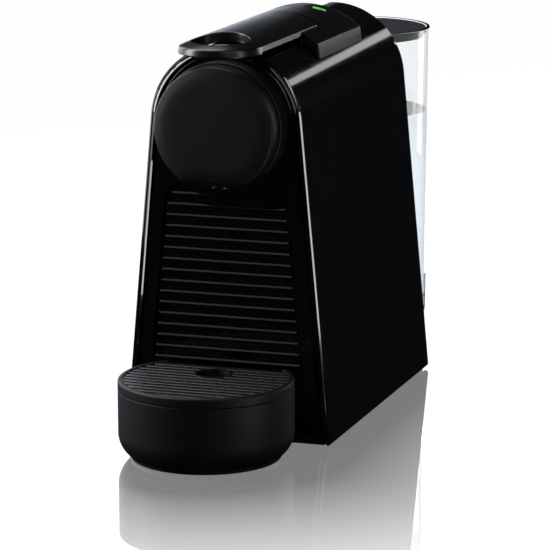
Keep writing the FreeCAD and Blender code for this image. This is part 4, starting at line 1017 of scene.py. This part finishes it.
def tank():
    depth, height = LID_AXIS
    corner, inner_corner, wall, over, film, film_low = 4, 2.5, TANK_WALL, 1, 1.85, 1.9
    boss_radius, outlet_radius, arm_half, arm_deep, ear_radius, bore_half = 9, 6.0, 1.5, 4.8, 2.4, 30
    piece = tank_form("beaker", 0, TANK_FRONT, TANK_LOW, TANK_RIM, corner)
    soften(piece, 0.6, 3, where=lambda x, at, z: z > TANK_RIM - 1)
    soften(piece, 2.0, 4, where=lambda x, at, z: z < TANK_LOW + 1)
    hollow = tank_form("hollow", wall, TANK_FRONT + wall, TANK_LOW + wall, TANK_RIM + over, inner_corner)
    soften(hollow, 1.5, 4, where=lambda x, at, z: z < TANK_LOW + wall + 1)
    cut(piece, hollow)
    boss = rod("boss", boss_radius, (0, TANK_CENTRE, 12), (0, TANK_CENTRE, 24))
    arms = []
    for x in (-LID_EAR, LID_EAR):
        left, right = x - arm_half, x + arm_half
        arm = block("arm", (left, TANK_FRONT + 1, height - arm_deep), (right, depth, height))
        arms.append(fuse(arm, rod("ear", ear_radius, (left, depth, height), (right, depth, height), 48)))
    fuse(piece, boss, *arms)
    cut(piece, rod("outlet", outlet_radius, (0, TANK_CENTRE, 5), (0, TANK_CENTRE, 26), 64))
    cut(piece, pin_bore(LID_BORE, bore_half, depth, height))
    finish_piece(piece, clear, "water_tank", "clear_plastic", "water_tank")
    water = tank_form("water", film, TANK_FRONT + film, TANK_LOW + film_low, WATER_LEVEL, inner_corner)
    finish_piece(water, still_water(), "water_tank", "clear_plastic")


def lid():
    depth, height = LID_AXIS
    inset, low, top, corner = 2.5, 182.8, 185.0, 3
    skirt_inset, skirt_deep, skirt_over = 1.6, 2.6, 0.3
    room_half, room_front, room_back, room_low, room_top = 1.9, 180, 193.1, 177, 200
    web_half, web_thick, knuckle_half, knuckle_radius, bore_half = 13.5, 1.9, 14, 2.2, 30
    notch_radius, notch_out = 9, 4.0
    front = TANK_FRONT + inset
    plate = soften(tank_form("beaker_lid", inset, front, low, top, corner), 0.5, 3)
    skirt = tank_form(
        "skirt", inset + skirt_inset, front + skirt_inset, low - skirt_deep, low + skirt_over, corner)
    fuse(plate, skirt)
    rooms = [
        block("room", (x - room_half, room_front, room_low), (x + room_half, room_back, room_top))
        for x in (-LID_EAR, LID_EAR)
    ]
    cut(plate, *rooms)
    web = block("web", (-web_half, depth - web_thick, low - 1), (web_half, depth + web_thick, height))
    knuckle_ends = (-knuckle_half, depth, height), (knuckle_half, depth, height)
    knuckle = soften(rod("knuckle", knuckle_radius, *knuckle_ends, 48), 0.3, 2)
    fuse(plate, web, knuckle)
    cut(plate, pin_bore(LID_BORE, bore_half, depth, height))
    notch = TANK_CENTRE + TANK_RADIUS + notch_out
    cut(plate, rod("notch", notch_radius, (0, notch, 170), (0, notch, 200), 64))
    finish_piece(plate, satin, "tank_lid", "satin_black", "tank_lid")


def stand():
    radius, low, top, corner, wall, inner_corner, well_radius = 41.35, 6, 22.1, 4, 2, 2.5, 9.4
    gap_half, gap_front, gap_back, gap_top = 4.4, 180, 186, 16

    def form(name, size, front, base, high, bend):
        return slab(tank_line(name, size, front, bend, base), 0, 0, high - base)

    piece = soften(form("stand", radius, TANK_FRONT, low, top, corner), 0.8, 3)
    cut(piece, form("room", radius - wall, TANK_FRONT + wall, low - 1, top - wall, inner_corner))
    cut(piece, rod("well", well_radius, (0, TANK_CENTRE, 0), (0, TANK_CENTRE, 40)))
    cut(piece, block("gap", (-gap_half, gap_front, low - 1), (gap_half, gap_back, gap_top)))
    finish_piece(piece, gloss, "housing", "gloss_black", "tank_stand")


# Feet: four round pads with softened edges
def feet():
    radius, tall, side, front, length = 7, 1.5, 40, 17, 149
    pad = soften(rod("foot_pads", radius, (-side, front, 0), (-side, front, tall), 64), 0.5, 3)
    copies(pad, [(shift, 1) for shift in ((2 * side, 0, 0), (0, length, 0), (2 * side, length, 0))])
    finish_piece(pad, rubber, "housing", "black_rubber", "rubber_feet")


makers = (
    sleeve, front_plate, rib_panel, head, spout, hood, lever, buttons,
    tray, grid, container, tank, lid, stand, feet,
)
for make in makers:
    make()
object_mode()

# Camera at the photograph's angle
lens = bpy.data.cameras.new("camera")
lens.lens = 203.45
lens.sensor_width = 36
camera = bpy.data.objects.new("camera", lens)
camera.location = spot(513.04, -1440.14, 412.26)
camera.rotation_euler = [math.radians(angle) for angle in (77.947, 0.174, 18.652)]
bpy.context.scene.collection.objects.link(camera)
bpy.context.scene.camera = camera
bpy.context.scene.view_settings.view_transform = "Standard"


# Studio: a white floor that mirrors the machine, low white walls behind it and to its left, and soft lamps
def lamp(name, azimuth, elevation, distance, width, height, radiance):
    """A soft lamp that faces the machine. Azimuth runs to the right from straight behind it."""
    turn, rise = math.radians(azimuth), math.radians(elevation)
    aim = Vector((0, 0, 0.1))
    away = Vector((math.sin(turn) * math.cos(rise), math.cos(turn) * math.cos(rise), math.sin(rise)))
    light = bpy.data.lights.new(name, "AREA")
    light.shape = "RECTANGLE"
    light.size = width
    light.size_y = height
    light.energy = radiance * math.pi * width * height
    holder = bpy.data.objects.new(name, light)
    holder.location = aim + away * distance
    holder.rotation_euler = away.to_track_quat("Z", "Y").to_euler()
    holder.visible_camera = False
    bpy.context.scene.collection.objects.link(holder)
    return holder


def grey(level):
    return level, level, level, 1


def first_bounce_only(holder):
    """Keeps a lamp out of what the floor mirrors, where its rays are one bounce deeper."""
    depth_limit = 2.5
    holder.data.use_nodes = True
    tree = holder.data.node_tree
    tree.nodes.clear()
    rays = put(tree, "ShaderNodeLightPath")
    first = put(tree, "ShaderNodeMath", {0: rays.outputs["Ray Depth"], 1: depth_limit}, operation="LESS_THAN")
    glow = put(tree, "ShaderNodeEmission", {"Color": grey(1), "Strength": first.outputs[0]})
    put(tree, "ShaderNodeOutputLight", {"Surface": glow.outputs[0]})


def stage_material(name):
    made = bpy.data.materials.new(name)
    made.use_nodes = True
    made.node_tree.nodes.clear()
    return made, made.node_tree


def seen_rays(tree):
    """The kinds of ray, and those that the camera sends straight or through clear plastic and water."""
    rays = put(tree, "ShaderNodeLightPath").outputs
    inputs = {0: rays["Is Camera Ray"], 1: rays["Is Transmission Ray"]}
    return rays, put(tree, "ShaderNodeMath", inputs, operation="MAXIMUM").outputs[0]


def floor():
    """A table that mirrors the machine beside it, fades to plain white and takes its shadow."""
    glow, shadow_level, dull_level, polish = 0.985, 0.1, 0.3, 0.8
    half_length, fade_start, fade_end = 0.12, 0.07, 0.26
    made, tree = stage_material("White acrylic table")
    _, seen = seen_rays(tree)
    white = put(tree, "ShaderNodeEmission", {"Color": grey(1), "Strength": glow})
    shadow = put(tree, "ShaderNodeBsdfDiffuse", {"Color": grey(shadow_level)})
    lit_white = put(tree, "ShaderNodeAddShader", {0: white.outputs[0], 1: shadow.outputs[0]})
    mirror = put(tree, "ShaderNodeBsdfGlossy", {"Color": grey(1), "Roughness": 0.0})
    place = put(tree, "ShaderNodeTexCoord").outputs["Object"]
    even = put(tree, "ShaderNodeVectorMath", {0: place}, operation="ABSOLUTE").outputs["Vector"]
    ends = {0: even, 1: (0, half_length, 0)}
    beyond = put(tree, "ShaderNodeVectorMath", ends, operation="SUBTRACT").outputs["Vector"]
    beside = {0: beyond, 1: (0, 0, 0)}
    outside = put(tree, "ShaderNodeVectorMath", beside, operation="MAXIMUM").outputs["Vector"]
    away = put(tree, "ShaderNodeVectorMath", {0: outside}, operation="LENGTH").outputs["Value"]
    share = put(tree, "ShaderNodeMapRange", {
        "Value": away, "From Min": fade_start, "From Max": fade_end, "To Min": polish, "To Max": 0.0})
    polished = put(tree, "ShaderNodeMixShader", {
        0: share.outputs["Result"], 1: lit_white.outputs[0], 2: mirror.outputs[0]})
    dull = put(tree, "ShaderNodeBsdfDiffuse", {"Color": grey(dull_level)})
    both = put(tree, "ShaderNodeMixShader", {0: seen, 1: dull.outputs[0], 2: polished.outputs[0]})
    put(tree, "ShaderNodeOutputMaterial", {"Surface": both.outputs[0]})
    top = begin("floor", bpy.ops.mesh.primitive_plane_add, size=8, location=(0, 0, 0))
    top.data.materials.append(made)
    top.visible_glossy = False
    top.visible_shadow = False


def backdrop(name, distance, tall, first, last, glow):
    """A low white wall on an arc round the machine, between two azimuths. The floor mirrors it white."""
    mirrored_glow = 1.3
    made, tree = stage_material("White paper " + name)
    mirrored = put(tree, "ShaderNodeLightPath").outputs["Is Singular Ray"]
    level = put(tree, "ShaderNodeMapRange", {"Value": mirrored, "To Min": glow, "To Max": mirrored_glow})
    paper = put(tree, "ShaderNodeEmission", {"Color": tint("#eaf2ff"), "Strength": level.outputs["Result"]})
    put(tree, "ShaderNodeOutputMaterial", {"Surface": paper.outputs[0]})
    turn = math.radians(first)
    start = Vector((math.sin(turn) * distance, math.cos(turn) * distance, 0))
    wall = begin(name, bpy.ops.mesh.primitive_plane_add, size=MM, location=start)
    shape(wall)
    bpy.ops.mesh.merge(type="CENTER")
    bpy.ops.mesh.extrude_vertices_move(TRANSFORM_OT_translate={"value": (0, 0, tall)})
    shape(wall, "EDGE")
    bpy.ops.mesh.spin(steps=24, angle=math.radians(last - first), center=(0, 0, 0), axis=UPRIGHT)
    object_mode()
    wall.data.materials.append(made)
    wall.visible_camera = False
    wall.visible_transmission = False


def surroundings():
    """A world that is white where it is seen or the floor mirrors it, and else nearly dark."""
    world = bpy.data.worlds.new("studio")
    bpy.context.scene.world = world
    world.use_nodes = True
    tree = world.node_tree
    tree.nodes.clear()
    rays, seen = seen_rays(tree)
    shown = put(tree, "ShaderNodeMath", {0: seen, 1: rays["Is Singular Ray"]}, operation="MAXIMUM")
    white = put(tree, "ShaderNodeBackground", {"Color": grey(1), "Strength": 1.0})
    room = put(tree, "ShaderNodeBackground", {"Color": tint("#e8eef6"), "Strength": 0.012})
    both = put(tree, "ShaderNodeMixShader", {0: shown.outputs[0], 1: room.outputs[0], 2: white.outputs[0]})
    put(tree, "ShaderNodeOutputWorld", {"Surface": both.outputs[0]})


floor()
surroundings()

# Walls: distance and height in metres, first and last azimuth in degrees, brightness
backdrop("backdrop", 0.75, 0.26, -112, 2, 2.3)
backdrop("low_card", 0.34, 0.19, -70, 13, 2.0)
backdrop("haze", 0.9, 0.5, -60, -15, 0.13)

# Lamps: azimuth and elevation in degrees, distance, width and height in metres, radiance
lamp("key_lamp", 148, 22, 1.2, 0.5, 0.7, 1.0)
lamp("top_lamp", -90, 68, 0.8, 0.5, 0.5, 5.0)
lamp("edge_lamp", 113, 0.3, 1.08, 0.08, 0.33, 12.0)
lamp("arch_lamp", 118, 26, 1.18, 0.08, 0.68, 7.0)
lamp("corner_lamp", -64.7, 26.8, 0.764, 0.15, 0.43, 6.0)
lamp("hood_lamp", 29.5, 8.6, 2.0, 0.21, 0.35, 6.0)
first_bounce_only(lamp("rim_lamp", 18, 16, 2.08, 0.6, 0.1, 1.85))
lamp("left_lamp", -118.5, 24, 0.515, 0.18, 0.4, 12.0)
lamp("side_lamp", 38, 3, 1.2, 0.3, 0.5, 2.5)
lamp("front_lamp", 203, 37, 1.4, 0.6, 0.5, 0.5)

# A strip of light that lies on the floor, to the right and in front of the machine, and faces up
strip = lamp("floor_strip", 110, 0, 0.3, 0.3, 0.028, 12.0)
strip.location = (0.285, -0.21, 0.001)
strip.rotation_euler = (math.pi, 0, math.radians(-20))
